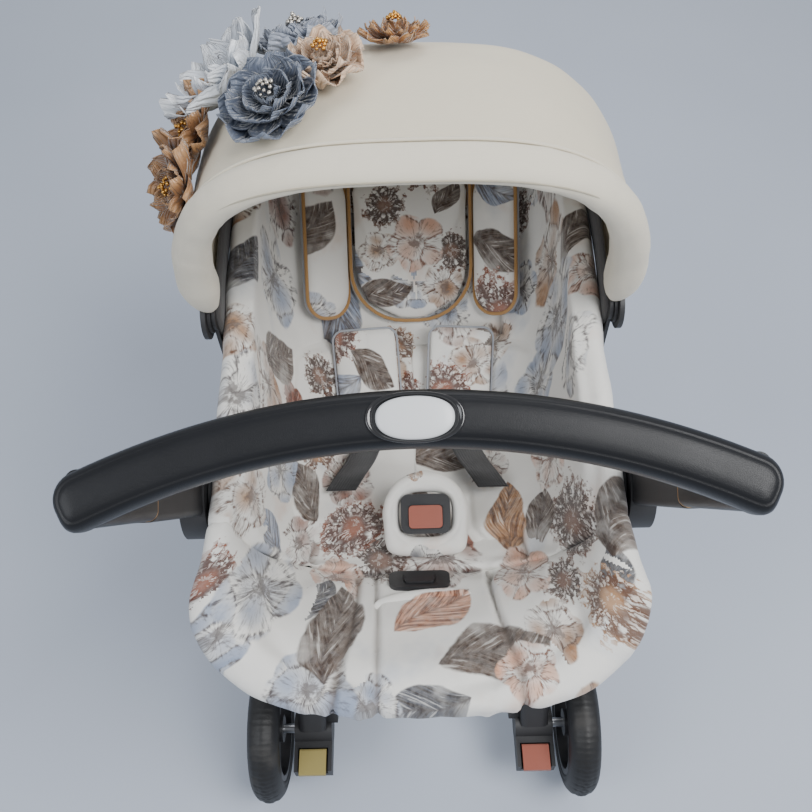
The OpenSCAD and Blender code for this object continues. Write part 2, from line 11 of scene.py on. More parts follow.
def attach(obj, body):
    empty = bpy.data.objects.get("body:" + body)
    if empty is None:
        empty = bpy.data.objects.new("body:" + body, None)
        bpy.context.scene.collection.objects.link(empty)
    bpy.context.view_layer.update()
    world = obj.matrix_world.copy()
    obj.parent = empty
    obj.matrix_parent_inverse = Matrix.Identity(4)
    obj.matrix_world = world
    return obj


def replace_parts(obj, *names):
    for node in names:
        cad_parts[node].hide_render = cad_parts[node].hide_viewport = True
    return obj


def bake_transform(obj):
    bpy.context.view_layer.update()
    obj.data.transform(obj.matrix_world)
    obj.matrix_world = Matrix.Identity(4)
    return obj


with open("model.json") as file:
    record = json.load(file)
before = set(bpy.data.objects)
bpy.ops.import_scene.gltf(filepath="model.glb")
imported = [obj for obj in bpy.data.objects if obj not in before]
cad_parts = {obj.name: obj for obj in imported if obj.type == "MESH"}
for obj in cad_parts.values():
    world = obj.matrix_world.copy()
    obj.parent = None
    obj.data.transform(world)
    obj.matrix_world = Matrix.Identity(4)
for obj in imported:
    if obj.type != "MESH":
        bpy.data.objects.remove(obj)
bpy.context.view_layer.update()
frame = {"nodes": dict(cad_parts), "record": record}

JOINTS = {j["name"]: j for j in frame["record"]["behaviour"]["joints"]}
HUB = Vector(JOINTS["handle_swing"]["pos_m"])
PIVOT = Vector(JOINTS["canopy_fold"]["pos_m"])
REAR_AXLE = Vector(JOINTS["rear_wheel_left_spin"]["pos_m"])
FRONT_AXLE = Vector(JOINTS["front_wheel_left_spin"]["pos_m"])
ARM = Vector(JOINTS["handle_extend"]["axis"])
MM = 0.001


# ---- small helpers: lengths below are millimetres from the handle pivot unless a name says otherwise ----
def at(x, y, z):
    return HUB + Vector((x, y, z)) * MM


def lookup(y, pairs):
    xs, zs = zip(*pairs)
    return float(np.interp(y, xs, zs))


def rounded(d, a, n):
    return max(0.0, 1 - min(1.0, max(0.0, d) / a) ** n) ** (1 / n)


def power(value, exponent):
    return math.copysign(abs(value) ** exponent, value)


def srgb(r, g, b):
    return tuple(((c / 255 + 0.055) / 1.055) ** 2.4 if c > 10 else c / 255 / 12.92 for c in (r, g, b)) + (1.0,)


def new_object(name, verts, faces, smooth=True):
    mesh = bpy.data.meshes.new(name)
    mesh.from_pydata([tuple(v) for v in verts], [], faces)
    mesh.validate()
    obj = bpy.data.objects.new(name, mesh)
    bpy.context.scene.collection.objects.link(obj)
    bm = bmesh.new()
    bm.from_mesh(mesh)
    bmesh.ops.recalc_face_normals(bm, faces=bm.faces)
    for face in bm.faces:
        face.smooth = smooth
    bm.to_mesh(mesh)
    bm.free()
    return obj


def rows_object(name, rows, closed_rows=True, caps=True, smooth=True):
    """Rows of points joined by quads. Closed rows are rings, and caps close the first and last ring."""
    n = len(rows[0])
    verts = [p for row in rows for p in row]
    last = n if closed_rows else n - 1
    faces = [[i * n + j, i * n + (j + 1) % n, (i + 1) * n + (j + 1) % n, (i + 1) * n + j]
             for i in range(len(rows) - 1) for j in range(last)]
    if caps and closed_rows:
        faces.append(list(range(n))[::-1])
        faces.append([(len(rows) - 1) * n + j for j in range(n)])
    return new_object(name, verts, faces, smooth)


def tube(name, points, radius, closed=False, sides=8):
    pts = [Vector(p) for p in points]
    count = len(pts)
    rows = []
    normal = None
    for i, p in enumerate(pts):
        before = pts[i - 1] if i or closed else p
        after = pts[(i + 1) % count] if i < count - 1 or closed else p
        along = (after - before).normalized()
        if normal is None:
            normal = along.orthogonal().normalized()
        normal = (normal - along * normal.dot(along)).normalized()
        side = along.cross(normal)
        rows.append([p + (normal * math.cos(a) + side * math.sin(a)) * radius
                     for a in (2 * math.pi * k / sides for k in range(sides))])
    if closed:
        rows.append(rows[0])
    return rows_object(name, rows, caps=not closed)


def modify(obj, kind, **values):
    mod = obj.modifiers.new(kind.lower(), kind)
    for key, value in values.items():
        setattr(mod, key, value)
    bpy.context.view_layer.update()
    mesh = bpy.data.meshes.new_from_object(obj.evaluated_get(bpy.context.evaluated_depsgraph_get()))
    obj.modifiers.clear()
    old, obj.data = obj.data, mesh
    bpy.data.meshes.remove(old)
    for poly in obj.data.polygons:
        poly.use_smooth = True
    return obj


def remesh(obj, voxel):
    return modify(obj, "REMESH", mode="VOXEL", voxel_size=voxel)


def points_of(obj):
    co = np.empty(len(obj.data.vertices) * 3)
    obj.data.vertices.foreach_get("co", co)
    return co.reshape(-1, 3)


def set_points(obj, co):
    obj.data.vertices.foreach_set("co", co.ravel())
    obj.data.update()


def normals_of(obj):
    no = np.empty(len(obj.data.vertices) * 3, np.float32)
    obj.data.vertex_normals.foreach_get("vector", no)
    return no.reshape(-1, 3)


def smooth(obj, times, factor=0.5):
    return modify(obj, "SMOOTH", iterations=times, factor=factor)


def inflate(obj, pressure=4.0, cap=0.008, frames=20):
    """Cloth under pressure, with each point's way capped."""
    start = points_of(obj)
    cloth = obj.modifiers.new("cloth", "CLOTH")
    cloth.settings.use_pressure = True
    cloth.settings.uniform_pressure_force = pressure
    cloth.settings.effector_weights.gravity = 0
    cloth.settings.quality = 4
    cloth.point_cache.frame_end = frames
    scene = bpy.context.scene
    for number in range(1, frames + 1):
        scene.frame_set(number)
    mesh = bpy.data.meshes.new_from_object(obj.evaluated_get(bpy.context.evaluated_depsgraph_get()))
    end = np.array([v.co for v in mesh.vertices])
    bpy.data.meshes.remove(mesh)
    obj.modifiers.clear()
    scene.frame_set(1)
    way = end - start
    length = np.linalg.norm(way, axis=1, keepdims=True) + 1e-9
    set_points(obj, start + way * np.minimum(1, cap / length))
    return obj


def groove(obj, distance, depth, width):
    """Press a seam in: distance(points) is how far each point is from the seam line, in metres."""
    co = points_of(obj)
    push = depth * np.exp(-(distance(co) / width) ** 2)
    set_points(obj, co - normals_of(obj) * push[:, None])


def to_segments(p2, line):
    """Distance of 2-D points from a polyline."""
    best = np.full(len(p2), 9.0)
    for a, b in zip(line[:-1], line[1:]):
        a, b = np.array(a), np.array(b)
        d = b - a
        t = np.clip(((p2 - a) @ d) / (d @ d), 0, 1)
        best = np.minimum(best, np.linalg.norm(p2 - a - t[:, None] * d, axis=1))
    return best


# ---- seat outlines, the same formulas as the CAD ----
SHELL_HALF, COVER_HALF = 183, 205
FOOT_TIP, FOOT_MID, HEAD_MID, HEAD_TIP = -190, -80, 160, 422
FOOT_REACH = 94   # how far the foot cover bulges past y = -110
RIM = [(-190, -50), (-172, -42), (-150, -26), (-110, 2), (-50, 18), (0, 30), (73, 46), (143, 62),
       (250, 100), (350, 135), (422, 158)]
UNDER = [(-190, -68), (-168, -82), (-118, -102), (-50, -128), (30, -152), (100, -162), (150, -144),
         (200, -104), (300, -16), (380, 56), (422, 100)]
SEAT = [(-211, -46), (-190, -33), (-168, -29), (-118, -52), (-50, -94), (30, -130), (100, -142),
        (130, -127), (400, 116), (425, 139)]
DISH = [(-186, 1.15), (-90, 1.05), (-48, 0.95), (-46, 0.77)]
BACK_ANGLE = math.radians(42)
BIGHT = (100, -130)


def shell_w(y):
    return (SHELL_HALF * rounded(FOOT_MID - y, FOOT_MID - FOOT_TIP, 2.3)
            * rounded(y - HEAD_MID, HEAD_TIP - HEAD_MID, 2.6))


def cover_w(y):
    if y < -110:
        return COVER_HALF * rounded(-110 - y, FOOT_REACH, 2.2)
    return (lookup(y, [(-110, COVER_HALF), (-76, 192), (-48, SHELL_HALF + 6), (-20, SHELL_HALF + 4)])
            * rounded(y - HEAD_MID, HEAD_TIP - HEAD_MID + 8, 2.6))


def u_point(y, u, half, top, bottom, p):
    return (math.copysign(half * math.sin(math.pi / 2 * abs(u)) ** p, u), y,
            top - (top - bottom) * max(0.0, math.cos(math.pi / 2 * abs(u))) ** p)


def seat_profile(y, skirt=46, steps=20, inset=24, lip=6, roll=16):
    """A closed ring: left hem, over the rim, across the seat, over the rim, right hem, and back below."""
    xi, xo, r = max(16, shell_w(y) - inset), cover_w(y), lookup(y, RIM) + lip
    half = [u_point(y, i / steps, xi, r, lookup(y, SEAT), lookup(y, DISH)) for i in range(steps + 1)]
    half += [((xi + xo) / 2 - (xo - xi) / 2 * math.cos(t), y, r + roll * math.sin(t))
             for t in (math.pi * k / 8 for k in range(1, 9))]
    half += [(xo - 1, y, r - skirt * 0.5), (xo - 5, y, r - skirt)]
    inner = max(12, shell_w(y) - 12)
    low = max(lookup(y, SEAT) - 16, lookup(y, UNDER) + 8) if y > -175 else lookup(y, SEAT) - 22
    back = [(xo - 12, y, r - skirt), (min(inner, xo - 13), y, r - 14)]
    back += [u_point(y, u, min(inner, xo - 13), r - 16, min(low, r - 18), 0.9) for u in (0.8, 0.6, 0.4, 0.2, 0)]
    right = half + back
    left = [(-x, yy, z) for x, yy, z in right[1:-1]]
    return [at(*p) for p in right + left[::-1]]


def seat_coords(co):
    """Cloth coordinates in metres: across the seat with the walls unrolled, and along it."""
    p = (co - np.array(HUB)) / MM
    x, y, z = p.T
    base = np.interp(y, *zip(*SEAT))
    s = x + np.sign(x) * 0.8 * np.maximum(0, z - base - 10)
    t = np.where(y < 130, y, 130 + (y - 130) / math.cos(BACK_ANGLE))
    return np.column_stack([s, t]) * MM


# ---- materials ----
class Net:
    """A node material with short ways to add nodes."""

    def __init__(self, name, color=(0.5, 0.5, 0.5, 1), rough=0.5, **values):
        self.mat = bpy.data.materials.new(name)
        self.mat.use_nodes = True
        self.mat.diffuse_color = color
        self.tree = self.mat.node_tree
        self.bsdf = self.tree.nodes["Principled BSDF"]
        self.bsdf.inputs["Base Color"].default_value = color
        self.bsdf.inputs["Roughness"].default_value = rough
        for key, value in values.items():
            self.bsdf.inputs[key.replace("_", " ")].default_value = value

    def node(self, kind, out=0, props=(), **inputs):
        n = self.tree.nodes.new("ShaderNode" + kind)
        for key, value in dict(props).items():
            setattr(n, key, value)
        for key, value in inputs.items():
            self.link(value, n.inputs[int(key[1:]) if key[0] == "i" and key[1:].isdigit() else key])
        return n.outputs[out]

    def link(self, value, socket):
        if isinstance(value, bpy.types.NodeSocket):
            self.tree.links.new(value, socket)
        else:
            socket.default_value = value

    def math(self, op, a, b=0.0, c=0.0, clamp=False):
        return self.node("Math", props={"operation": op, "use_clamp": clamp}, i0=a, i1=b, i2=c)

    def add(self, a, b, clamp=False):
        return self.math("ADD", a, b, clamp=clamp)

    def sub(self, a, b):
        return self.math("SUBTRACT", a, b)

    def mul(self, a, b, clamp=False):
        return self.math("MULTIPLY", a, b, clamp=clamp)

    def mul_add(self, a, b, c):
        return self.math("MULTIPLY_ADD", a, b, c)

    def sine(self, a):
        return self.math("SINE", a)

    def absolute(self, a):
        return self.math("ABSOLUTE", a)

    def step(self, value, low, high):
        return self.node("MapRange", props={"interpolation_type": "SMOOTHSTEP"}, i0=value, i1=low, i2=high)

    def mix(self, fac, a, b, blend="MIX"):
        n = self.tree.nodes.new("ShaderNodeMix")
        n.data_type = "RGBA"
        n.blend_type = blend
        self.link(fac, n.inputs[0])
        self.link(a, n.inputs[6])
        self.link(b, n.inputs[7])
        return n.outputs[2]

    def attribute(self, name, out=1):
        return self.node("Attribute", out, {"attribute_name": name})

    def split(self, vector):
        n = self.tree.nodes.new("ShaderNodeSeparateXYZ")
        self.tree.links.new(vector, n.inputs[0])
        return n.outputs[:3]

    def object_coords(self):
        return self.node("TexCoord", 3)

    def noise(self, vector, scale, detail=3.0, rough=0.5, out=0):
        return self.node("TexNoise", out, Vector=vector, Scale=scale, Detail=detail, Roughness=rough)

    def bump(self, height, distance, strength=1.0, normal=None):
        n = self.tree.nodes.new("ShaderNodeBump")
        n.inputs["Distance"].default_value = distance
        n.inputs["Strength"].default_value = strength
        self.link(height, n.inputs["Height"])
        if normal is not None:
            self.link(normal, n.inputs["Normal"])
        return n.outputs[0]

    def finish(self, color=None, rough=None, normal=None):
        for value, key in ((color, "Base Color"), (rough, "Roughness"), (normal, "Normal")):
            if value is not None:
                self.link(value, self.bsdf.inputs[key])
        return self.mat


def weave(net, vector, pitch):
    """Over-and-under threads: two crossed waves."""
    x, y, z = net.split(vector)
    a = net.sine(net.mul(x, 2 * math.pi / pitch))
    b = net.sine(net.mul(y, 2 * math.pi / pitch))
    return net.mul(a, b)


PRINT_WHITE = srgb(238, 236, 230)


def floral_material():
    """Watercolour flowers, leaves and seed heads, in two layers. In each layer "motif" holds the place in the
    motif, from -1 to 1, and a seed, and "tint" its colour and, as alpha, its kind. "seam" paints shade into
    the seam grooves."""
    n = Net("floral_print", PRINT_WHITE, 0.82, Sheen_Weight=0.25, Sheen_Roughness=0.5)
    cloth = n.attribute("cloth")
    soft = n.noise(cloth, 22.0, 4.0)
    fine = n.noise(cloth, 130.0, 3.0, 0.6)
    soft0 = n.sub(soft, 0.5)
    fine0 = n.sub(fine, 0.5)

    def layer(word):
        u, v, seed = n.split(n.attribute("motif_" + word))
        tint = n.attribute("tint_" + word, 0)
        kind = n.attribute("tint_" + word, 3)
        r = n.math("SQRT", n.add(n.mul(u, u), n.mul(v, v)))
        angle = n.math("ARCTAN2", v, u)
        turn = n.mul(seed, 6.3)
        dark = n.mix(1.0, tint, srgb(140, 118, 104), "MULTIPLY")
        deep = n.mix(0.5, dark, srgb(66, 52, 48))
        pale = n.mix(0.6, tint, PRINT_WHITE)

        # flowers: overlapping petals, pale at the lip and darker and streaked towards the middle
        lobes = n.absolute(n.sine(n.mul_add(angle, 2.5, turn)))
        rr = n.add(r, n.mul(soft0, 0.5))
        flower = n.sub(1.0, n.step(n.sub(rr, n.mul_add(lobes, 0.16, 0.74)), -0.05, 0.03))
        place = n.node("CombineXYZ", X=n.add(u, n.mul(soft0, 0.7)),
                       Y=n.add(v, n.mul(fine0, 0.16)), Z=n.mul(seed, 9.0))
        petal_edge = n.node("TexVoronoi", 0, {"feature": "DISTANCE_TO_EDGE"}, Vector=place, Scale=1.7)
        petal_mid = n.node("TexVoronoi", 0, Vector=place, Scale=1.7)
        petal_tone = n.split(n.node("TexVoronoi", 1, Vector=place, Scale=1.7))[0]
        polar = n.node("CombineXYZ", X=n.mul(angle, 3.2), Y=n.mul(r, 1.1), Z=seed)
        streak = n.noise(polar, 3.2, 3.0, 0.65)
        lip = n.add(n.mul(petal_tone, 0.6), n.mul(petal_mid, 1.1))
        petal = n.mix(n.step(n.add(lip, n.mul(fine0, 0.5)), 0.25, 1.05), tint, pale)
        petal = n.mix(n.step(lip, 0.8, 1.2), petal, PRINT_WHITE)
        petal = n.mix(n.mul(n.step(streak, 0.5, 0.68), 0.6), petal, dark)
        crease = n.sub(1.0, n.step(petal_edge, 0.0, n.mul_add(fine, 0.16, 0.02)))
        petal = n.mix(n.mul(crease, n.step(streak, 0.35, 0.6)), petal, dark)
        middle = n.sub(1.0, n.step(n.add(r, n.mul(fine0, 1.2)), 0.06, 0.3))
        petal = n.mix(n.mul(middle, 0.8), petal, deep)

        # leaves: a broad lens with a midrib and slanting streaks
        w = n.mul(n.sub(1.0, n.mul(u, u)), 0.56)
        side = n.add(v, n.mul(n.sine(n.mul(u, 2.2)), 0.16))
        off = n.absolute(side)
        leaf = n.step(n.add(n.sub(w, off), n.mul(soft0, 0.4)), 0.0, 0.06)
        along = n.sub(off, n.mul(u, 0.55))
        vein = n.noise(n.node("CombineXYZ", X=n.mul(along, 5.5), Y=n.mul(side, 1.2), Z=seed), 2.6, 3.0, 0.6)
        green = n.mix(n.step(vein, 0.36, 0.6), dark, tint)
        green = n.mix(n.mul(n.step(vein, 0.58, 0.66), 0.75), green, pale)
        green = n.mix(n.mul(n.step(soft, 0.54, 0.66), 0.5), green, pale)
        green = n.mix(n.mul(n.sub(1.0, n.step(vein, 0.3, 0.4)), 0.6), green, deep)
        green = n.mix(n.mul(n.sub(1.0, n.step(off, 0.0, 0.05)), 0.6), green, deep)

        # seed heads: a blotchy ring of brown round a pale, lined middle
        strokes = n.sine(n.mul_add(angle, 11.0, n.mul(fine0, 12.0)))
        reach = n.mul_add(fine0, 1.3, n.mul_add(soft0, 0.9, 0.8))
        head = n.sub(1.0, n.step(n.sub(r, reach), -0.08, 0.04))
        holes = n.step(n.add(n.mul(strokes, 0.4), n.mul(fine0, 6.0)), -0.9, -0.2)
        head = n.mul(head, n.math("MAXIMUM", holes, n.sub(1.0, n.step(r, 0.3, 0.5))))
        band = n.absolute(n.sub(r, n.mul_add(soft0, 0.6, 0.5)))
        bur = n.mix(n.step(band, 0.1, 0.34), dark, tint)
        bur = n.mix(n.mul(n.step(fine, 0.5, 0.6), n.step(n.absolute(strokes), 0.2, 0.9)), bur, pale)

        is_leaf = n.math("GREATER_THAN", kind, 0.25)
        is_head = n.math("GREATER_THAN", kind, 0.75)
        mask = n.mix(is_head, n.mix(is_leaf, flower, leaf), head)
        return mask, n.mix(is_head, n.mix(is_leaf, petal, green), bur)

    wash = n.mul(n.step(n.noise(cloth, 13.0, 4.0), 0.56, 0.72), 0.42)
    ground = n.mix(wash, PRINT_WHITE, srgb(214, 176, 150))
    wash2 = n.mul(n.step(n.noise(n.node("Mapping", Vector=cloth, Location=(3, 5, 1)), 11.0, 4.0), 0.57, 0.72), 0.4)
    ground = n.mix(wash2, ground, srgb(160, 172, 190))
    color = ground
    for word in ("under", "over"):
        mask, ink = layer(word)
        color = n.mix(n.mul(mask, n.mul_add(fine, 0.5, 0.68), clamp=True), color, ink)
    # painted shade: the seam grooves are darkened towards brown where "seam" is high
    color = n.mix(n.mul(n.split(n.attribute("seam"))[0], 0.62), color, srgb(112, 100, 92))
    bump = n.bump(weave(n, cloth, 0.0011), 0.00012)
    bump = n.bump(n.noise(cloth, 38.0, 3.0), 0.0022, 0.6, bump)
    return n.finish(color, None, bump)


def cloth_material(name, color, pitch=0.0012, rough=0.85, wrinkle=0.0012, slub=0.08):
    n = Net(name, color, rough, Sheen_Weight=0.3, Sheen_Roughness=0.45)
    vector = n.object_coords()
    x, y, z = n.split(vector)
    flat = n.node("CombineXYZ", X=x, Y=n.add(y, z), Z=0.0)
    threads = n.noise(n.node("Mapping", Vector=flat, Scale=(1, 14, 1)), 90.0, 2.0)
    tone = n.mul_add(n.sub(threads, 0.5), slub * 2, n.mul(n.noise(vector, 7.0), slub))
    shade = n.mix(n.add(tone, 0.1, clamp=True), color, tuple(c * 0.55 for c in color[:3]) + (1,))
    bump = n.bump(weave(n, flat, pitch), 0.00015)
    bump = n.bump(n.noise(vector, 30.0, 3.0), wrinkle, 0.5, bump)
    return n.finish(shade, None, bump)


def plastic(name, color, rough=0.42, grain=420.0, depth=0.00012, wear=0.05, **values):
    n = Net(name, color, rough, **values)
    vector = n.object_coords()
    patch = n.noise(vector, 9.0, 3.0)
    r = n.mul_add(patch, 0.16, rough - 0.08)
    edge = n.node("NewGeometry", 7)
    worn = n.mul(n.step(edge, 0.51, 0.6), wear)
    col = n.mix(n.add(worn, n.mul(n.noise(vector, 60.0), 0.03)), color, srgb(150, 150, 152))
    return n.finish(col, r, n.bump(n.noise(vector, grain, 2.0), depth, 0.6))


def leather(name, color):
    n = Net(name, color, 0.38, Coat_Weight=0.08, Coat_Roughness=0.28, Specular_IOR_Level=0.24)
    vector = n.object_coords()
    cells = n.node("TexVoronoi", 0, {"feature": "DISTANCE_TO_EDGE"}, Vector=vector, Scale=950.0)
    grain = n.math("MINIMUM", cells, 0.12)
    rough = n.mul_add(n.noise(vector, 26.0), 0.18, 0.3)
    col = n.mix(n.mul(n.noise(vector, 14.0), 0.05), color, srgb(82, 84, 90))
    return n.finish(col, rough, n.bump(n.add(grain, n.mul(n.noise(vector, 300.0), 0.05)), 0.0005, 0.5))


def metal(name, color, rough=0.3):
    n = Net(name, color, rough, Metallic=1.0)
    vector = n.object_coords()
    streak = n.noise(n.node("Mapping", Vector=vector, Scale=(1, 1, 40)), 60.0)
    return n.finish(None, n.mul_add(streak, 0.2, rough - 0.08), n.bump(streak, 0.00005))


def webbing_material():
    n = Net("webbing", srgb(26, 26, 28), 0.62, Sheen_Weight=0.2)
    cloth = n.attribute("cloth")
    x, y, z = n.split(cloth)
    ribs = n.sine(n.mul(y, 2 * math.pi / 0.0016))
    rows = n.sine(n.mul(x, 2 * math.pi / 0.0028))
    twill = n.mul_add(rows, 0.6, ribs)
    col = n.mix(n.step(twill, -0.5, 1.2), srgb(18, 18, 19), srgb(46, 46, 49))
    return n.finish(col, None, n.bump(twill, 0.0003))


def rubber_material():
    n = Net("tyre_rubber", srgb(30, 30, 31), 0.62)
    vector = n.object_coords()
    dust = n.step(n.noise(vector, 24.0, 5.0), 0.5, 0.75)
    col = n.mix(n.mul(dust, 0.16), srgb(27, 27, 28), srgb(122, 118, 112))
    return n.finish(col, n.mul_add(dust, 0.18, 0.5), n.bump(n.noise(vector, 500.0), 0.0002))


def petal_material(name, color, shine=0.35, alpha_tone=(255, 255, 255)):
    n = Net(name, color, 0.5 - shine * 0.3, Sheen_Weight=0.5, Sheen_Roughness=0.3)
    uvw = n.attribute("petal")
    across, along, seed = n.split(uvw)
    veins = n.sine(n.mul_add(across, 30.0, n.mul(n.noise(uvw, 4.0), 9.0)))
    tone = n.step(along, 0.0, 1.0)
    col = n.mix(tone, tuple(c * 0.42 for c in color[:3]) + (1,), color)
    col = n.mix(n.mul(n.step(along, 0.72, 1.0), 0.45), col, srgb(*alpha_tone))
    col = n.mix(n.mul(n.step(veins, 0.2, 1.0), 0.16), col, tuple(c * 0.5 for c in color[:3]) + (1,))
    return n.finish(col, None, n.bump(n.add(veins, n.noise(uvw, 9.0)), 0.0006))


MATS = {
    "floral": floral_material(),
    "canopy": cloth_material("canopy_cream", srgb(232, 222, 198)),
    "brim": cloth_material("brim_cream", srgb(236, 228, 208), wrinkle=0.003),
    # dark cloth used as painted shade in the gaps under the canopy's sides
    "shade_sheet": cloth_material("shade_sheet_dark", srgb(70, 68, 68)),
    "black": plastic("shell_black", srgb(20, 20, 23), 0.5),
    "rim": plastic("rim_black", srgb(26, 26, 29), 0.4),
    "gloss": plastic("gloss_black", srgb(16, 16, 18), 0.16, depth=0.00002, Coat_Weight=0.5),
    "buckle": plastic("buckle_black", srgb(24, 24, 26), 0.3),
    "red": plastic("button_red", srgb(150, 74, 52), 0.42),
    "green": plastic("pedal_gold_green", srgb(158, 142, 78), 0.42),
    "grey": plastic("button_grey", srgb(92, 92, 96), 0.4),
    "white": plastic("badge_white", srgb(206, 208, 210), 0.35, depth=0.00002, wear=0.0),
    "leather": leather("grip_leatherette", srgb(19, 20, 23)),
    "gold": metal("gold_trim", srgb(212, 160, 84), 0.32),
    "steel": metal("steel", srgb(178, 180, 184), 0.3),
    "silver": metal("flower_silver", srgb(206, 200, 190), 0.28),
    "webbing": webbing_material(),
    "rubber": rubber_material(),
    "gold_cord": cloth_material("piping_gold", srgb(188, 142, 84), 0.0008, 0.5, 0.0003),
    "grey_cord": cloth_material("piping_grey", srgb(178, 182, 190), 0.0008, 0.6, 0.0003),
    "thread": cloth_material("thread_cream", srgb(206, 196, 172), 0.0006, 0.6, 0.0002),
    "brown_petal": petal_material("petal_bronze", srgb(150, 108, 74), 0.7, (226, 180, 130)),
    "gold_petal": petal_material("petal_copper", srgb(176, 118, 70), 0.7, (236, 190, 130)),
    "white_petal": petal_material("petal_white", srgb(226, 232, 240), 0.4),
    "slate_petal": petal_material("petal_slate", srgb(84, 92, 108), 0.6, (150, 160, 178)),
    "grey_petal": petal_material("petal_grey", srgb(142, 150, 166), 0.4, (190, 196, 208)),
    "peach_petal": petal_material("petal_peach", srgb(222, 186, 154), 0.5, (244, 216, 190)),
}


def paint(obj, mat):
    obj.data.materials.clear()
    obj.data.materials.append(MATS[mat])
    return obj


def vector_attribute(obj, name, values):
    data = obj.data.attributes.get(name) or obj.data.attributes.new(name, "FLOAT_VECTOR", "POINT")
    data.data.foreach_set("vector", np.ascontiguousarray(values, np.float32).ravel())


# ---- the print ----
TINTS = {"tan": (176, 132, 92), "peach": (214, 160, 130), "blue": (150, 162, 184), "rust": (140, 76, 48),
         "taupe": (112, 98, 88), "brown": (112, 74, 54), "slate": (86, 88, 96), "gold": (164, 116, 74)}
FLOWER, LEAF, HEAD = 0.0, 0.5, 1.0
# Each motif: place across and along the seat and radius in millimetres, turn in degrees, tint and kind.
# Earlier ones lie on top.
PLACED = [
    (95, -168, 32, 0, "peach", FLOWER), (70, -150, 56, 18, "taupe", LEAF), (112, -62, 42, 30, "peach", FLOWER),
    (-180, -88, 62, 40, "blue", FLOWER), (-250, -12, 46, 20, "tan", FLOWER), (-84, -124, 54, 96, "taupe", LEAF),
    (-112, -92, 36, 66, "slate", LEAF), (-205, -140, 42, 100, "blue", FLOWER), (-100, -182, 46, 10, "blue", FLOWER),
    (-50, -196, 36, 0, "blue", FLOWER), (12, -100, 46, 42, "peach", LEAF), (-86, -62, 36, 0, "peach", FLOWER),
    (206, -120, 44, 0, "tan", HEAD), (160, -82, 32, 0, "brown", HEAD), (270, -48, 48, 58, "taupe", LEAF),
    (-80, 4, 44, 20, "rust", HEAD), (-96, 66, 40, 70, "rust", FLOWER), (112, 10, 46, 84, "tan", LEAF),
    (156, 0, 38, 66, "taupe", LEAF), (40, 98, 40, 10, "taupe", LEAF), (232, -96, 30, 70, "slate", LEAF),
    (-282, 232, 44, 60, "slate", LEAF), (-200, 266, 56, 0, "blue", FLOWER), (-322, 150, 42, 0, "tan", FLOWER),
    (-206, 176, 48, 44, "taupe", LEAF), (-246, 124, 48, 10, "gold", FLOWER), (-180, 130, 36, 110, "rust", LEAF),
    (226, 200, 62, 0, "blue", FLOWER), (184, 150, 46, 50, "blue", FLOWER), (302, 206, 36, 0, "peach", FLOWER),
    (270, 262, 42, 80, "taupe", LEAF), (290, 120, 44, 0, "blue", FLOWER), (-150, 40, 40, 130, "taupe", LEAF),
    (200, 60, 44, 0, "peach", FLOWER), (-200, 50, 42, 0, "blue", FLOWER),
]


def motif_field(seed, low, high, placed=(), spacing=46):
    """The placed motifs, then a seeded scatter that keeps clear of them."""
    rng = random.Random(seed)
    found = list(placed)
    y = low[1]
    while y < high[1]:
        x = low[0]
        while x < high[0]:
            cx, cy = x + rng.uniform(-16, 16), y + rng.uniform(-16, 16)
            radius = rng.choice((32, 38, 46, 54))
            kind = rng.choice((FLOWER, FLOWER, LEAF, LEAF, HEAD))
            names = {FLOWER: ("peach", "blue", "tan", "gold", "rust"), LEAF: ("taupe", "slate", "taupe", "blue"),
                     HEAD: ("brown", "gold", "rust")}[kind]
            tint = rng.choice(names)
            turn = rng.uniform(0, 360)
            if all(math.hypot(cx - f[0], cy - f[1]) > 0.62 * (radius + f[2]) for f in found):
                found.append((cx, cy, radius, turn, tint, kind))
            x += spacing
        y += spacing * 0.82
    return found


def print_on(obj, st, motifs):
    """Give each point its cloth coordinates, and each face the two motifs that lie over it."""
    vector_attribute(obj, "cloth", np.column_stack([st, np.zeros(len(st))]))
    mesh = obj.data
    corners = np.empty(len(mesh.loops), np.int64)
    mesh.loops.foreach_get("vertex_index", corners)
    starts, totals = np.empty(len(mesh.polygons), np.int64), np.empty(len(mesh.polygons), np.int64)
    mesh.polygons.foreach_get("loop_start", starts)
    mesh.polygons.foreach_get("loop_total", totals)
    pos = st[corners] / MM
    centre = np.add.reduceat(pos, starts) / totals[:, None]
    found = np.zeros(len(starts), np.int64)
    uvs = np.full((2, len(corners), 3), 9.0)
    tint = np.ones((2, len(corners), 4))
    for i, (cx, cy, radius, turn, name, kind) in enumerate(motifs):
        covers = np.linalg.norm(centre - (cx, cy), axis=1) < 1.12 * radius
        a = math.radians(turn)
        d = (pos - (cx, cy)) / radius
        local = np.column_stack([d[:, 0] * math.cos(a) + d[:, 1] * math.sin(a),
                                 -d[:, 0] * math.sin(a) + d[:, 1] * math.cos(a), np.full(len(d), (i * 0.37) % 1)])
        for k in range(2):
            take = np.repeat(covers & (found == k), totals)
            uvs[k][take] = local[take]
            tint[k][take] = srgb(*TINTS[name])[:3] + (kind,)
        found[covers] += 1
    for k, word in enumerate(("over", "under")):
        for title, kind, key, values in (("motif_", "FLOAT_VECTOR", "vector", uvs[k]),
                                         ("tint_", "FLOAT_COLOR", "color", tint[k])):
            data = mesh.attributes.new(title + word, kind, "CORNER")
            data.data.foreach_set(key, np.ascontiguousarray(values, np.float32).ravel())


SEAT_MOTIFS = motif_field(5, (-330, -260), (331, 560), PLACED)


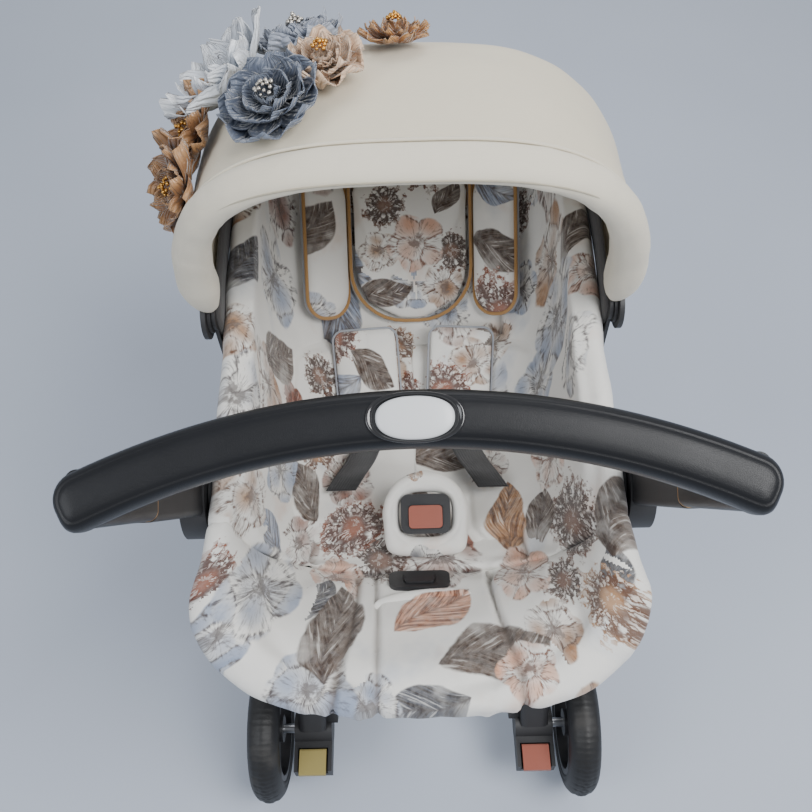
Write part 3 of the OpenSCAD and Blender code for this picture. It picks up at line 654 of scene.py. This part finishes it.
# ---- seat cover ----
def seat_cover(name, node, stations, seams, voxel=0.005, cap=0.006, skirt=46):
    obj = rows_object(name, [seat_profile(y, skirt) for y in stations])
    remesh(obj, voxel)
    smooth(obj, 6)
    inflate(obj, 3.0, cap)
    smooth(obj, 2)
    modify(obj, "SUBSURF", levels=1)
    # dark holds painted shade for the pressed seam grooves; it is stored as "seam"
    dark = np.zeros(len(obj.data.vertices))
    for line, depth, width in seams:
        near = to_segments(seat_coords(points_of(obj)), np.array(line) * MM)
        groove(obj, lambda co: near, depth, width)
        dark = np.maximum(dark, np.exp(-(near / (width * 0.75)) ** 2))
    vector_attribute(obj, "seam", np.column_stack([dark, dark, dark]))
    st = seat_coords(points_of(obj))
    wavy = np.array([noise.noise(Vector((s * 26, t * 26, 3.0))) for s, t in st])
    set_points(obj, points_of(obj) + normals_of(obj) * (wavy * 0.0016)[:, None])
    print_on(obj, seat_coords(points_of(obj)), SEAT_MOTIFS)
    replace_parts(paint(obj, "floral"), node)
    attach(obj, "shell")
    return obj


FOOT_SEAMS = [([(-62, -50), (-66, -120), (-86, -230)], 0.007, 0.004),
              ([(-44, -50), (-40, -110), (-40, -230)], 0.005, 0.0035),
              ([(70, -50), (78, -120), (96, -230)], 0.007, 0.004)]
LINER_SEAMS = [([(-118, -40), (-108, 130), (-104, 500)], 0.006, 0.005),
               ([(118, -40), (108, 130), (104, 500)], 0.006, 0.005)]
foot = seat_cover("foot_cover_padded", "foot_cover",
                  [-203, -201, -198, -193, -188, -182] + list(range(-175, -46, 10)) + [-42], FOOT_SEAMS,
                  skirt=20)
liner = seat_cover("seat_liner_padded", "seat_liner", list(range(-54, 400, 14)) + [406, 416, 424], LINER_SEAMS,
                   0.006)


# ---- flat pads on the back and seat ----
def on_back(d, out, x=0.0):
    return (Matrix.Translation(at(0, *BIGHT)) @ Matrix.Rotation(BACK_ANGLE, 4, "X")
            @ Matrix.Translation(Vector((x, d, out)) * MM))


def round_outline(w, h, r, steps=8, bottom=None):
    """A rounded rectangle round the origin, in millimetres, with its own lower corner radius if given."""
    pts = []
    for cx, cy, a0, rr in ((1, 1, 0, r), (-1, 1, 90, r), (-1, -1, 180, bottom or r), (1, -1, 270, bottom or r)):
        for k in range(steps + 1):
            a = math.radians(a0 + 90 * k / steps)
            pts.append((cx * (w / 2 - rr) + rr * math.cos(a), cy * (h / 2 - rr) + rr * math.sin(a)))
    return pts


def pillow_rows(outline, top, bottom, rings=9):
    """Rings from the middle of the underside round the edge to the middle of the top."""
    rows = []
    for k in range(-rings, rings + 1):
        share = 1 - abs(k) / rings
        lift = math.sqrt(max(0.0, 1 - share ** 3.2))
        z = top * lift if k > 0 else -bottom * lift
        size = max(share, 0.02)
        rows.append([(x * size, y * size, z) for x, y in outline])
    return rows


def pad(name, outline, top, bottom, matrix, motifs, node=None, bend=None, piping=None, channels=(), cap=0.004,
        shift=(0, 0)):
    rows = pillow_rows(outline, top, bottom)
    if bend:
        rows = [[(x, y, z + bend(x, y)) for x, y, z in row] for row in rows]
    obj = rows_object(name, [[Vector(p) * MM for p in row] for row in rows])
    remesh(obj, 0.004)
    smooth(obj, 3)
    inflate(obj, 4.0, cap)
    modify(obj, "SUBSURF", levels=1)
    for line, depth, width in channels:
        groove(obj, lambda co: to_segments(co[:, :2], np.array(line) * MM), depth, width)
    flat = points_of(obj)[:, :2] + np.array(shift) * MM
    print_on(obj, flat, motifs)
    obj.data.transform(matrix)
    paint(obj, "floral")
    if node:
        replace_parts(obj, node)
    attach(obj, "shell")
    for i, (mat, lift, radius) in enumerate(piping or ()):
        line = [(x * 0.985, y * 0.985, lift + (bend(x, y) if bend else 0)) for x, y in outline]
        cord = tube(f"{name}_piping_{i}", [matrix @ (Vector(p) * MM) for p in line], radius * MM, closed=True)
        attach(paint(cord, mat), "shell")
    return obj


PAD_MOTIFS = motif_field(11, (-200, -200), (201, 201), [
    (-26, 44, 27, 0, "brown", HEAD), (40, 50, 22, 60, "taupe", LEAF), (6, 2, 36, 40, "peach", FLOWER),
    (44, -6, 26, 0, "brown", HEAD), (-34, -4, 26, 0, "tan", FLOWER), (36, -44, 30, 0, "gold", FLOWER),
    (-30, -50, 32, 20, "taupe", LEAF), (0, -44, 28, 60, "blue", FLOWER)], 54)
WING_MOTIFS = motif_field(12, (-200, -200), (201, 201), [
    (0, 40, 32, 60, "rust", FLOWER), (0, -8, 36, 80, "taupe", LEAF), (4, -56, 34, 70, "slate", LEAF)], 54)
SHOULDER_MOTIFS = motif_field(14, (-200, -200), (201, 201), [
    (4, 34, 34, 0, "brown", FLOWER), (-6, -10, 40, 20, "peach", FLOWER), (10, -50, 36, 60, "taupe", LEAF)], 54)
DOUBLE_PIPING = (("gold_cord", 2.2, 2.0), ("grey_cord", -1.6, 2.0))


def hollow_back(x, y):
    return 7 * (x / 66) ** 2


pad("headrest_centre", round_outline(132, 164, 20, bottom=58), 11, 8, on_back(242, -4), PAD_MOTIFS, "headrest_pad",
    hollow_back, DOUBLE_PIPING)
for side, word in ((-1, "left"), (1, "right")):
    place = on_back(244, 15, side * 91) @ Matrix.Rotation(math.radians(-38 * side), 4, "Y")
    pad(f"headrest_wing_{word}_pad", round_outline(54, 156, 24), 13, 11, place, WING_MOTIFS,
        f"headrest_wing_{word}", None, DOUBLE_PIPING, shift=(70 * side, 20))
    place = on_back(97, 14, side * 50) @ Matrix.Rotation(math.radians(-3 * side), 4, "Z")
    pad(f"shoulder_pad_{word}_soft", round_outline(71, 116, 12), 8, 5, place, SHOULDER_MOTIFS,
        f"shoulder_pad_{word}", None, (("grey_cord", 0, 1.2),), (([(0, -50), (0, 50)], 0.0012, 0.003),),
        shift=(96 * side, -90 * side))


def insert_rows():
    rows = []
    reach = 0.62
    for y in [-18, -15] + list(range(-8, 200, 13)) + [206, 211, 214]:
        xi, r = shell_w(y) - 24, lookup(y, RIM) + 6
        fade = min(1.0, (y + 19) / 14, (216 - y) / 18)
        us = [reach * i / 12 for i in range(-12, 13)]
        low = [u_point(y, u, xi, r, lookup(y, SEAT), 0.77) for u in us]
        high = [(x, yy, z + 1 + 19 * fade * max(0.0, math.cos(math.pi / 2 * u / reach)) ** 0.4)
                for (x, yy, z), u in zip(low, us)]
        rows.append([at(x, yy, z - 5) for x, yy, z in low] + [at(*p) for p in high[::-1]])
    return rows


insert = rows_object("body_insert_padded", insert_rows())
remesh(insert, 0.005)
smooth(insert, 4)
inflate(insert, 3.0, 0.004)
modify(insert, "SUBSURF", levels=1)
groove(insert, lambda co: np.abs(np.abs(seat_coords(co)[:, 0]) - 0.07), 0.003, 0.004)
print_on(insert, seat_coords(points_of(insert)), SEAT_MOTIFS)
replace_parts(paint(insert, "floral"), "body_insert")
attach(insert, "shell")

# ---- crotch pad, buckle, straps ----
CROTCH_X = 8
CROTCH = Matrix.Translation(at(CROTCH_X, 9, -72)) @ Matrix.Rotation(math.radians(27), 4, "X")
arch = [(44.5 * math.cos(a), 44.5 * math.sin(a)) for a in (math.pi * k / 22 for k in range(23))]
arch += [(-43.5, -14), (-43, -28), (-40, -38), (-30, -43), (-15, -44), (0, -44.5), (15, -44), (30, -43), (40, -38),
         (43, -28), (43.5, -14)]
window = [(power(math.cos(math.atan2(y, x)), 0.6) * 27, power(math.sin(math.atan2(y, x)), 0.6) * 22 - 1)
          for x, y in arch]
crotch_rows = []
for k in range(24):
    t = 2 * math.pi * k / 24
    share = 0.5 + 0.5 * power(math.cos(t), 0.8)
    crotch_rows.append([Vector((ox + (x - ox) * share, oy + (y - oy) * share, 8.5 * power(math.sin(t), 0.9))) * MM
                        for (x, y), (ox, oy) in zip(arch, window)])
crotch_rows.append(crotch_rows[0])
crotch = rows_object("crotch_pad_soft", crotch_rows, caps=False)
remesh(crotch, 0.004)
smooth(crotch, 3)
inflate(crotch, 4.0, 0.003)
modify(crotch, "SUBSURF", levels=1)
groove(crotch, lambda co: np.abs(np.linalg.norm(co[:, :2] / (1, 0.95), axis=1) - 0.036), 0.0012, 0.002)
print_on(crotch, points_of(crotch)[:, :2], [(-2, -52, 24, 0, "slate", FLOWER), (-10, 42, 10, 0, "gold", FLOWER)])
crotch.data.transform(CROTCH)
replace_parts(paint(crotch, "floral"), "crotch_pad")
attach(crotch, "shell")


def strap(name, points, width, thick, node=None, body="shell"):
    """Flat webbing along points in millimetres, with rounded edges."""
    pts = [at(*p) for p in points]
    fine = []
    for i in range(len(pts) - 1):
        a, b, c, d = pts[max(i - 1, 0)], pts[i], pts[i + 1], pts[min(i + 2, len(pts) - 1)]
        for k in range(8):
            t = k / 8
            fine.append(0.5 * ((2 * b) + (c - a) * t + (2 * a - 5 * b + 4 * c - d) * t * t
                               + (3 * b - a - 3 * c + d) * t ** 3))
    fine.append(pts[-1])
    across = Vector((1, 0, 0))
    section = [(-0.5, 0), (-0.46, 0.5), (-0.2, 0.62), (0, 0.55), (0.2, 0.62), (0.46, 0.5), (0.5, 0), (0.46, -0.5),
               (0, -0.5), (-0.46, -0.5)]
    rows, coords, run = [], [], 0.0
    for i, p in enumerate(fine):
        along = (fine[min(i + 1, len(fine) - 1)] - fine[max(i - 1, 0)]).normalized()
        up = across.cross(along).normalized()
        run += (p - fine[i - 1]).length if i else 0
        rows.append([p + across * x * width * MM + up * z * thick * MM for x, z in section])
        coords += [(x * width * MM, run, 0) for x, z in section]
    obj = rows_object(name, rows)
    vector_attribute(obj, "cloth", np.array(coords))
    paint(obj, "webbing")
    if node:
        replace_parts(obj, node)
    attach(obj, body)
    return obj


for side, word in ((-1, "left"), (1, "right")):
    strap(f"shoulder_strap_{word}", [(side * x, y, z) for x, y, z in
          ((50, 146, -78), (50, 130, -88), (53, 106, -93), (60, 82, -88), (70, 60, -80), (80, 42, -80))],
          32, 1.8, "shoulder_webbing" if side == 1 else None)
strap("crotch_strap", [(CROTCH_X, y, z) for y, z in ((12, -108), (10, -98), (8, -88), (6, -78))], 34, 2,
      "crotch_webbing")


def seat_height(x, y):
    """Height of the cushions near the middle of the seat, above the handle pivot."""
    xi, top, p = max(16, shell_w(y) - 24), lookup(y, RIM) + 6, lookup(y, DISH)
    u = math.asin((abs(x) / xi) ** (1 / p)) / (math.pi / 2)
    return u_point(y, u, xi, top, lookup(y, SEAT), p)[2]


# the sewn lip below the adjuster's slot
lip_rows = []
for i in range(33):
    share = i / 16 - 1
    x, y = CROTCH_X / 2 + 50 * share, -82 - 7 * share * share + 5 * share
    size = (1 - share ** 4) ** 0.5 + 0.02
    centre = Vector((x, y, seat_height(x, y) + 2.5))
    turns = [2 * math.pi * k / 16 for k in range(16)]
    ring = [(8.5 * math.cos(t) * size, (5.5 * math.sin(t) + 1.5 * math.cos(t)) * size) for t in turns]
    lip_rows.append([at(*(centre + Vector((0, along, up)))) for along, up in ring])
lip = rows_object("adjuster_lip", lip_rows)
modify(lip, "SUBSURF", levels=1)
print_on(lip, seat_coords(points_of(lip)), SEAT_MOTIFS)
paint(lip, "floral")
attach(lip, "shell")

# ---- canopy ----
BOW_HALF, BOW_R, BOW_POWER = 202, 242, 2 / 3
REAR_EDGE, MID_BOW, FRONT_EDGE = 24, 61, 100.5
PIVOT_YZ = (153, 82)


def bow_point(phi, angle, out=0.0):
    """A point on the canopy: phi runs along the bow in degrees, angle up and over from the head end."""
    x = power(math.cos(math.radians(phi)), BOW_POWER) * (BOW_HALF + out)
    r = max(0.0, math.sin(math.radians(phi))) ** BOW_POWER * (BOW_R + out)
    a = math.radians(angle)
    return x, PIVOT_YZ[0] + r * math.cos(a), PIVOT_YZ[1] + r * math.sin(a)


PHIS = [90 - 89.3 * math.cos(math.pi * i / 84) for i in range(85)]


def rim_line(phi):
    x = power(math.cos(math.radians(phi)), 2 / 2.6) * 192
    y = HEAD_MID + 268 * math.sin(math.radians(phi)) ** (2 / 2.6)
    return x, y, lookup(y, RIM) + 4


def canopy_sag(phi, angle):
    lo, hi = (REAR_EDGE, MID_BOW) if angle < MID_BOW else (MID_BOW, FRONT_EDGE)
    share = min(1.0, max(0.0, (angle - lo) / (hi - lo)))
    crown = math.sin(math.radians(phi)) ** 0.5
    dip = -5.0 * math.sin(math.pi * share) * crown
    fold = (1.6 * noise.noise(Vector((phi / 26, angle / 7, 4.0)))
            + 0.9 * noise.noise(Vector((phi / 9, angle / 16, 9.0))))
    return dip + fold * crown - 0.6


rows = [[at(*p) for p in (rim_line(phi) for phi in PHIS)]]
for k in (0.3, 0.6, 0.85):
    sag = -2 - 6 * k * (1 - k)
    rows.append([at(*[a + (b - a) * k for a, b in zip(rim_line(phi), bow_point(phi, REAR_EDGE, sag))])
                 for phi in PHIS])
for i in range(40):
    angle = REAR_EDGE + (FRONT_EDGE + 1 - REAR_EDGE) * i / 39
    rows.append([at(*bow_point(phi, angle, canopy_sag(phi, angle))) for phi in PHIS])
canopy = rows_object("canopy_sheet", rows, closed_rows=False)
modify(canopy, "SUBSURF", levels=1)
modify(canopy, "SOLIDIFY", thickness=0.0018, offset=0.0)
paint(canopy, "canopy")
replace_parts(canopy, "canopy_cloth")
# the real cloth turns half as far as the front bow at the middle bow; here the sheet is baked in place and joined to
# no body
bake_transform(canopy)

# brim: a soft roll over the front bow, with rounded ends at the pivots
brim_rows = []
BRIM_ANGLE, BRIM_LONG, BRIM_THICK, BRIM_FLARE = 102.6, 34, 15, 22
BRIM_PHIS = [90 - 89.4 * math.cos(math.pi * i / 130) for i in range(131)]
for i, phi in enumerate(BRIM_PHIS):
    side = abs(math.cos(math.radians(phi))) ** 1.6
    thick = BRIM_THICK + BRIM_FLARE * side
    middle = 6 + 4 * side - thick / 2
    x, y, z = bow_point(phi, BRIM_ANGLE, middle)
    x2, y2, z2 = bow_point(phi, BRIM_ANGLE, middle + 8)
    out = Vector((x2 - x, y2 - y, z2 - z)).normalized()
    a = math.radians(BRIM_ANGLE)
    along = Vector((0, -math.sin(a), math.cos(a)))
    run = min(phi, 180 - phi)
    end = min(1.0, (run - 0.5) / 9)
    size = math.sqrt(max(0.01, 1 - (1 - end) ** 2))
    crease = 1 + 0.05 * noise.noise(Vector((phi / 6, 0, 2.0))) + 0.02 * noise.noise(Vector((phi / 1.9, 0, 7.0)))
    ring = []
    for k in range(32):
        t = 2 * math.pi * k / 32
        gather = 1.1 * noise.noise(Vector((phi / 1.3, 0, 5.0))) * max(0.0, -math.sin(t - 0.5)) ** 2
        ring.append(at(x, y, z) + (along * power(math.cos(t), 0.78) * BRIM_LONG / 2 * size * crease
                                   + out * (power(math.sin(t), 0.85) * thick / 2 * size * crease + gather)) * MM)
    brim_rows.append(ring)
brim = rows_object("canopy_brim_roll", brim_rows)
modify(brim, "SUBSURF", levels=1)
paint(brim, "brim")
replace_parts(brim, "canopy_brim")
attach(brim, "canopy_front")


# dark side sheets of painted shade between the canopy's lower edge and the rim
for side, word in ((-1, "left"), (1, "right")):
    shade_sheet_rows = [[at(side * (shell_w(y) + out), y, lookup(y, RIM) + z)
                    for out, z in ((2, 30), (7, 28), (9, 12), (7, -10), (2, -12), (1, 8))]
                   for y in range(144, 286, 10)]
    shade_sheet = rows_object(f"canopy_side_shade_sheet_{word}", shade_sheet_rows)
    modify(shade_sheet, "SUBSURF", levels=1)
    # the dark cloth on this sheet is painted shade
    paint(shade_sheet, "shade_sheet")
    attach(shade_sheet, "shell")


def bow_seam(name, angle, out, radius, mat, body, from_phi=8):
    line = [at(*bow_point(from_phi + (180 - 2 * from_phi) * i / 90, angle, out)) for i in range(91)]
    seam = tube(name, line, radius * MM, sides=6)
    paint(seam, mat)
    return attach(seam, body)


bow_seam("brim_welt_rear", 98.2, 2.0, 1.5, "brim", "canopy_front")
bow_seam("brim_welt_front", 106.6, 1.0, 0.9, "thread", "canopy_front", 14)


# ---- flowers on the canopy ----
def petal_grid(length, width, cup, ruffle, seed, tip=0.5):
    """One petal from its root at the origin along +X, curling up."""
    grid = []
    for i in range(9):
        t = i / 8
        w = width / 2 * (math.sin(math.pi * min(1, t * 0.86 + 0.1)) ** tip) * (0.35 + 0.65 * min(1, t * 2.2))
        row = []
        for j in range(9):
            s = j / 4 - 1
            wave = ruffle * t * noise.noise(Vector((s * 1.7 + seed, t * 2.4, seed * 3.1)))
            x = length * t * (1 - 0.12 * s * s) * math.cos(cup * t * 0.6)
            z = length * 0.5 * math.sin(cup * t) * t + wave + 0.16 * width * s * s * (1 - 0.3 * t)
            row.append((x, s * w, z, (s, t, seed)))
        grid.append(row)
    return grid


def fabric_flower(name, phi_x, angle, radius, mat, layers, tilt=0.0, ruffle=5.0, tip=0.5, middle="gold"):
    """Layers are (petals, share of radius, cup, width share)."""
    ratio = min(0.98, abs(phi_x) / BOW_HALF)
    phi = math.degrees(math.acos(math.copysign(ratio ** (1 / BOW_POWER), phi_x)))
    base = Vector(bow_point(phi, angle, 0))
    ahead = (Vector(bow_point(phi + 1, angle, 0)) - base).normalized()
    over = (Vector(bow_point(phi, angle + 1, 0)) - base).normalized()
    up = ahead.cross(over).normalized()
    pivot = Vector((0, *PIVOT_YZ))
    if (base + up - pivot).length < (base - pivot).length:
        up = -up
    up = (up + Vector((0, -math.sin(math.radians(tilt)), 0))).normalized()
    ahead = (ahead - up * ahead.dot(up)).normalized()
    side = up.cross(ahead)
    verts, faces, marks = [], [], []
    for index, (count, share, cup, wide) in enumerate(layers):
        for k in range(count):
            spin = (2 * math.pi * (k + 0.5 * (index % 2)) / count
                    + 0.25 * noise.noise(Vector((k * 1.3, index * 2.1, radius))))
            size = radius * share * (1 + 0.14 * noise.noise(Vector((k * 2.3, index, 5.0 + radius))))
            first = len(verts)
            for row in petal_grid(size, size * wide, cup, ruffle * share, k + index * 10 + radius, tip):
                for x, y, z, mark in row:
                    px, py = x * math.cos(spin) - y * math.sin(spin), x * math.sin(spin) + y * math.cos(spin)
                    lift = 3 + index * 3.2 + z + 0.4 * (k % 2)
                    verts.append(HUB + (base + ahead * px + side * py + up * lift) * MM)
                    marks.append(mark)
            faces += [[first + i * 9 + j, first + i * 9 + j + 1, first + (i + 1) * 9 + j + 1, first + (i + 1) * 9 + j]
                      for i in range(8) for j in range(8)]
    obj = new_object(name, verts, faces)
    vector_attribute(obj, "petal", np.array(marks))
    modify(obj, "SOLIDIFY", thickness=0.0007, offset=0.0)
    paint(obj, mat)
    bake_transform(obj)
    rng = random.Random(int(radius * 7 + angle))
    beads_v, beads_f = [], []
    for k in range(16):
        a, d = k * 2.4, radius * 0.028 * math.sqrt(k)
        centre = base + (ahead * math.cos(a) + side * math.sin(a)) * d * 1.6 + up * (12 + 5 * len(layers) - d * 1.4)
        bm = bmesh.new()
        bmesh.ops.create_icosphere(bm, subdivisions=2, radius=rng.uniform(1.3, 2.1))
        first = len(beads_v)
        beads_v += [HUB + (centre + v.co) * MM for v in bm.verts]
        beads_f += [[first + v.index for v in f.verts] for f in bm.faces]
        bm.free()
    beads = new_object(name + "_middle", beads_v, beads_f)
    paint(beads, middle)
    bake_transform(beads)
    return obj


LILY = [(6, 1.0, 0.8, 0.7), (6, 0.86, 1.1, 0.66), (4, 0.55, 1.5, 0.6)]
ROSE = [(7, 1.0, 0.6, 0.98), (6, 0.82, 1.0, 1.0), (5, 0.6, 1.4, 1.0), (4, 0.36, 1.9, 1.1)]
BROAD = [(6, 1.0, 0.5, 0.86), (6, 0.82, 0.9, 0.8), (4, 0.5, 1.5, 0.9)]
DAISY = [(9, 1.0, 0.6, 0.5), (8, 0.8, 1.0, 0.5), (6, 0.5, 1.4, 0.5)]
fabric_flower("flower_slate", -98, 87, 47, "slate_petal", ROSE, 10, 8, 0.4, "silver")
fabric_flower("flower_bronze_low", -183, 84, 50, "brown_petal", BROAD, 25, 9, 0.5)
fabric_flower("flower_bronze_high", -170, 71, 50, "brown_petal", BROAD, 15, 10, 0.5)
fabric_flower("flower_lily", -142, 64, 70, "white_petal", LILY, 8, 12, 0.6, "silver")
fabric_flower("flower_grey", -86, 60, 44, "grey_petal", ROSE, 0, 8, 0.4, "silver")
fabric_flower("flower_peach", -62, 78, 37, "peach_petal", ROSE, 10, 13, 0.35)
fabric_flower("flower_copper", -8, 65, 33, "gold_petal", DAISY, 0, 6, 0.45)
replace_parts(bpy.data.objects["flower_slate"], "canopy_flowers_front")
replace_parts(bpy.data.objects["flower_lily"], "canopy_flowers_rear")

# ---- handle grip ----
SIDE = Vector((1, 0, 0))
ACROSS = Vector((0, ARM.z, -ARM.y))   # the way the grip bows, towards the head end
ARM_LEN, GRIP_BOW, GRIP_FACE, GRIP_DEPTH = 329, 43, 35, 30
END_R = GRIP_FACE / 2 + 1.5
GRIP_HALF = 219 - END_R
GRIP_R = (GRIP_HALF ** 2 + GRIP_BOW ** 2) / (2 * GRIP_BOW)
SWEEP = math.asin(GRIP_HALF / GRIP_R)


def end_point(share):
    """A point of the grip's end, of size 1: round above and nearly square below."""
    t = math.pi * (0.5 - share)
    x, y = math.cos(t), math.sin(t)
    if y < 0:
        x, y = power(x, 0.5), power(y, 0.5)
    return x * math.cos(SWEEP) + y * math.sin(SWEEP), y * math.cos(SWEEP) - x * math.sin(SWEEP)


def grip_outline(half, steps=72, ends=20):
    """A bent capsule in the plane across the arms: [along X, along the bow]."""
    def mid(a, off):
        return ((GRIP_R + off) * math.sin(a), (GRIP_R + off) * math.cos(a) - GRIP_R + GRIP_BOW)
    line = [mid(-SWEEP + 2 * SWEEP * i / steps, half) for i in range(steps + 1)]
    cx, cy = mid(SWEEP, 0)
    right = [end_point(k / ends) for k in range(1, ends)]
    line += [(cx + half * x, cy + half * y) for x, y in right]
    line += [mid(SWEEP - 2 * SWEEP * i / steps, -half) for i in range(steps + 1)]
    line += [(-cx - half * x, cy + half * y) for x, y in reversed(right)]
    return line


# height along the arms, and half the face's width there
GRIP_PROFILE = [(-15, 0.5), (-15, 9), (-14.6, 13.3), (-13, 15.8), (-10, 17.2), (-6, 17.9), (-5.2, 17.9), (-4.8, 17.4),
                (-4.4, 17.4), (-4, 17.9), (2, 17.8), (7, 17.1), (10.5, 15.6), (12.6, 13.8), (13.3, 12.6), (13.1, 11.8),
                (13.7, 11.2), (14.6, 8.4), (15, 4), (15, 0.5)]
rows = [[HUB + (SIDE * x + ACROSS * b + ARM * (ARM_LEN + w)) * MM for x, b in grip_outline(h)]
        for w, h in GRIP_PROFILE]
grip = rows_object("handle_grip_wrapped", rows)
paint(grip, "leather")
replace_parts(grip, "handle_grip")
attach(grip, "handle_upper")


def grip_oval(name, a, b, profile, mat, n=2.3, body="handle_upper", node=None, flat=0.0):
    """Rings of a superellipse on the grip's outer face: profile is (height, share of the size)."""
    rows = []
    for h, size in profile:
        ring = []
        for k in range(64):
            t = 2 * math.pi * k / 64
            x, y = power(math.cos(t), 2 / n) * a * size, power(math.sin(t), 2 / n) * b * size
            if y < 0:
                y *= 1 - flat
            ring.append(HUB + (SIDE * x + ACROSS * (GRIP_BOW + y) + ARM * (ARM_LEN + GRIP_DEPTH / 2 + h)) * MM)
        rows.append(ring)
    obj = rows_object(name, rows)
    paint(obj, mat)
    if node:
        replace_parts(obj, node)
    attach(obj, body)
    return obj


BEZEL_PROFILE = [(-2, 1.0), (0.7, 1.0), (1.3, 0.985), (1.5, 0.96), (1.3, 0.93), (0.4, 0.86), (-1.2, 0.84), (-2, 0.8)]
CAP_PROFILE = [(-2, 1.0), (0.4, 1.0), (1.2, 0.97), (1.8, 0.9), (2.3, 0.72), (2.6, 0.4), (2.7, 0.05)]
bezel = grip_oval("handle_bezel_ring", 29.6, 15.4, BEZEL_PROFILE, "gloss", node="handle_bezel")
button = grip_oval("handle_button_cap", 23.5, 12.6, CAP_PROFILE, "white", 2.3, "handle_button", "handle_button",
                   -0.06)


# ---- wheels ----
def wheel_ring(name, centre, profile, mat, node, body, steps=120, tread=None):
    """Revolves [across, radius] in millimetres about the wheel's own axle. tread(k, i) lowers a point."""
    rows = []
    for k in range(steps):
        a = 2 * math.pi * k / steps
        row = []
        for i, (x, r) in enumerate(profile):
            rr = r - (tread(k, i) if tread else 0)
            row.append(centre + Vector((x, rr * math.cos(a), rr * math.sin(a))) * MM)
        rows.append(row)
    rows.append(rows[0])
    obj = rows_object(name, rows, caps=False)
    paint(obj, mat)
    if node:
        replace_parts(obj, node)
    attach(obj, body)
    return obj


def tyre_profile(r, w, rim):
    half = w / 2
    turns = [math.pi * (k / 16 - 0.5) for k in range(17)]
    shoulder = [(half * math.sin(t), r - half + half * math.cos(t)) for t in turns]
    return ([(-half + 1.5, rim + 1)] + [(-half + 0.6, rim + 5), (-half + 1.2, rim + 6)] + shoulder
            + [(half - 1.2, rim + 6), (half - 0.6, rim + 5), (half - 1.5, rim + 1)])


def tread(k, i):
    if 8 <= i <= 14:
        return 1.2 if (k + (i % 2) * 3) % 6 == 0 else (0.9 if i in (9, 13) else 0.0)
    return 0.0


for side, word in ((-1, "left"), (1, "right")):
    for end, axle, x, r, w, rim_r in (("rear", REAR_AXLE, 198, 90, 40, 64), ("front", FRONT_AXLE, 170, 80, 28, 56)):
        centre = Vector((side * x * MM, axle.y, axle.z))
        wheel_ring(f"{end}_tyre_{word}_tread", centre, tyre_profile(r, w, rim_r), "rubber", f"{end}_tyre_{word}",
                   f"{end}_wheel_{word}", 240, tread)
        outer = side * (w / 2 - 3)
        cap = [(outer - side * 2, 20), (outer + side * 1, 19.5), (outer + side * 2.2, 17), (outer + side * 2.4, 12),
               (outer + side * 1.6, 10.5), (outer + side * 2.6, 9), (outer + side * 3, 1)]
        wheel_ring(f"{end}_hub_cap_{word}", centre, cap, "grey", None, f"{end}_wheel_{word}", 48)
        face = outer + side * 1.2
        trim = [(outer, rim_r - 2), (face, rim_r - 3), (face, rim_r - 6), (outer, rim_r - 7)]
        wheel_ring(f"{end}_rim_trim_{word}", centre, trim + trim[:1], "gold", None, f"{end}_wheel_{word}",
                   96)

# ---- the CAD nodes that stay get their own finishes ----
KEPT = {
    "black": ["belt_guides", "seat_shell", "base_keel", "hub_bosses", "canopy_brackets", "release_housing",
              "canopy_mid_bow", "canopy_front_bow", "handle_sleeve_left", "handle_sleeve_right", "rear_leg_frame",
              "rear_lower_legs", "front_leg_frame", "front_lower_legs"],
    "red": ["release_lever", "buckle_button", "brake_pedal"],
    "green": ["release_pedal"],
    "buckle": ["buckle_body", "adjuster_plate", "adjuster_button"],
    "grey": ["hub_button_left", "hub_button_right"],
    "leather": ["handle_arms"],
    "steel": ["handle_mid_bars", "rear_axle_left", "rear_axle_right"],
    "gold": ["handle_trim_rings"],
    "rim": ["rear_rim_left", "rear_rim_right", "front_rim_left", "front_rim_right", "fork_left", "fork_right"],
}
for mat, nodes in KEPT.items():
    for name in nodes:
        paint(frame["nodes"][name], mat)

# ---- floor, light and camera ----
FLOOR_HALF = 4.0
floor_rows = [[Vector((x, y, 0)) for x in (-FLOOR_HALF, FLOOR_HALF)] for y in (-FLOOR_HALF, FLOOR_HALF)]
floor = rows_object("floor", floor_rows, closed_rows=False, smooth=False)
floor_net = Net("floor_pale", srgb(176, 184, 198), 0.7)
floor.data.materials.append(floor_net.finish(
    floor_net.mix(floor_net.noise(floor_net.object_coords(), 1.2), srgb(166, 174, 188), srgb(190, 198, 211))))


def area_light(name, place, target, size, power_w, color=(1, 1, 1)):
    data = bpy.data.lights.new(name, "AREA")
    data.size = size
    data.energy = power_w
    data.color = color
    obj = bpy.data.objects.new(name, data)
    obj.location = place
    obj.rotation_euler = (Vector(target) - Vector(place)).to_track_quat("-Z", "Y").to_euler()
    bpy.context.scene.collection.objects.link(obj)


AIM = (0, 0, 0.5)
area_light("key", (1.2, -0.9, 2.6), AIM, 1.3, 70)
area_light("fill", (-1.6, -1.2, 2.0), AIM, 1.2, 22, (0.93, 0.96, 1.0))
area_light("back", (0.2, 1.9, 2.3), AIM, 1.5, 20)
world = bpy.data.worlds.new("soft")
world.use_nodes = True
world.node_tree.nodes["Background"].inputs[0].default_value = (0.86, 0.9, 0.97, 1)
world.node_tree.nodes["Background"].inputs[1].default_value = 0.55
bpy.context.scene.world = world

LENS, SENSOR = 41.2, 36
CAMERA_AT = (0, -409, 790)
CAMERA_TURN, CAMERA_TILT, CAMERA_ROLL = (math.radians(a) for a in (1.0, 32.5, -2.4))
camera_data = bpy.data.cameras.new("camera")
camera_data.lens = LENS
camera_data.sensor_width = SENSOR
camera = bpy.data.objects.new("camera", camera_data)
bpy.context.scene.collection.objects.link(camera)
camera.matrix_world = (Matrix.Translation(at(*CAMERA_AT)) @ Matrix.Rotation(CAMERA_TURN, 4, "Z")
                       @ Matrix.Rotation(CAMERA_TILT, 4, "X") @ Matrix.Rotation(CAMERA_ROLL, 4, "Z"))
bpy.context.scene.camera = camera
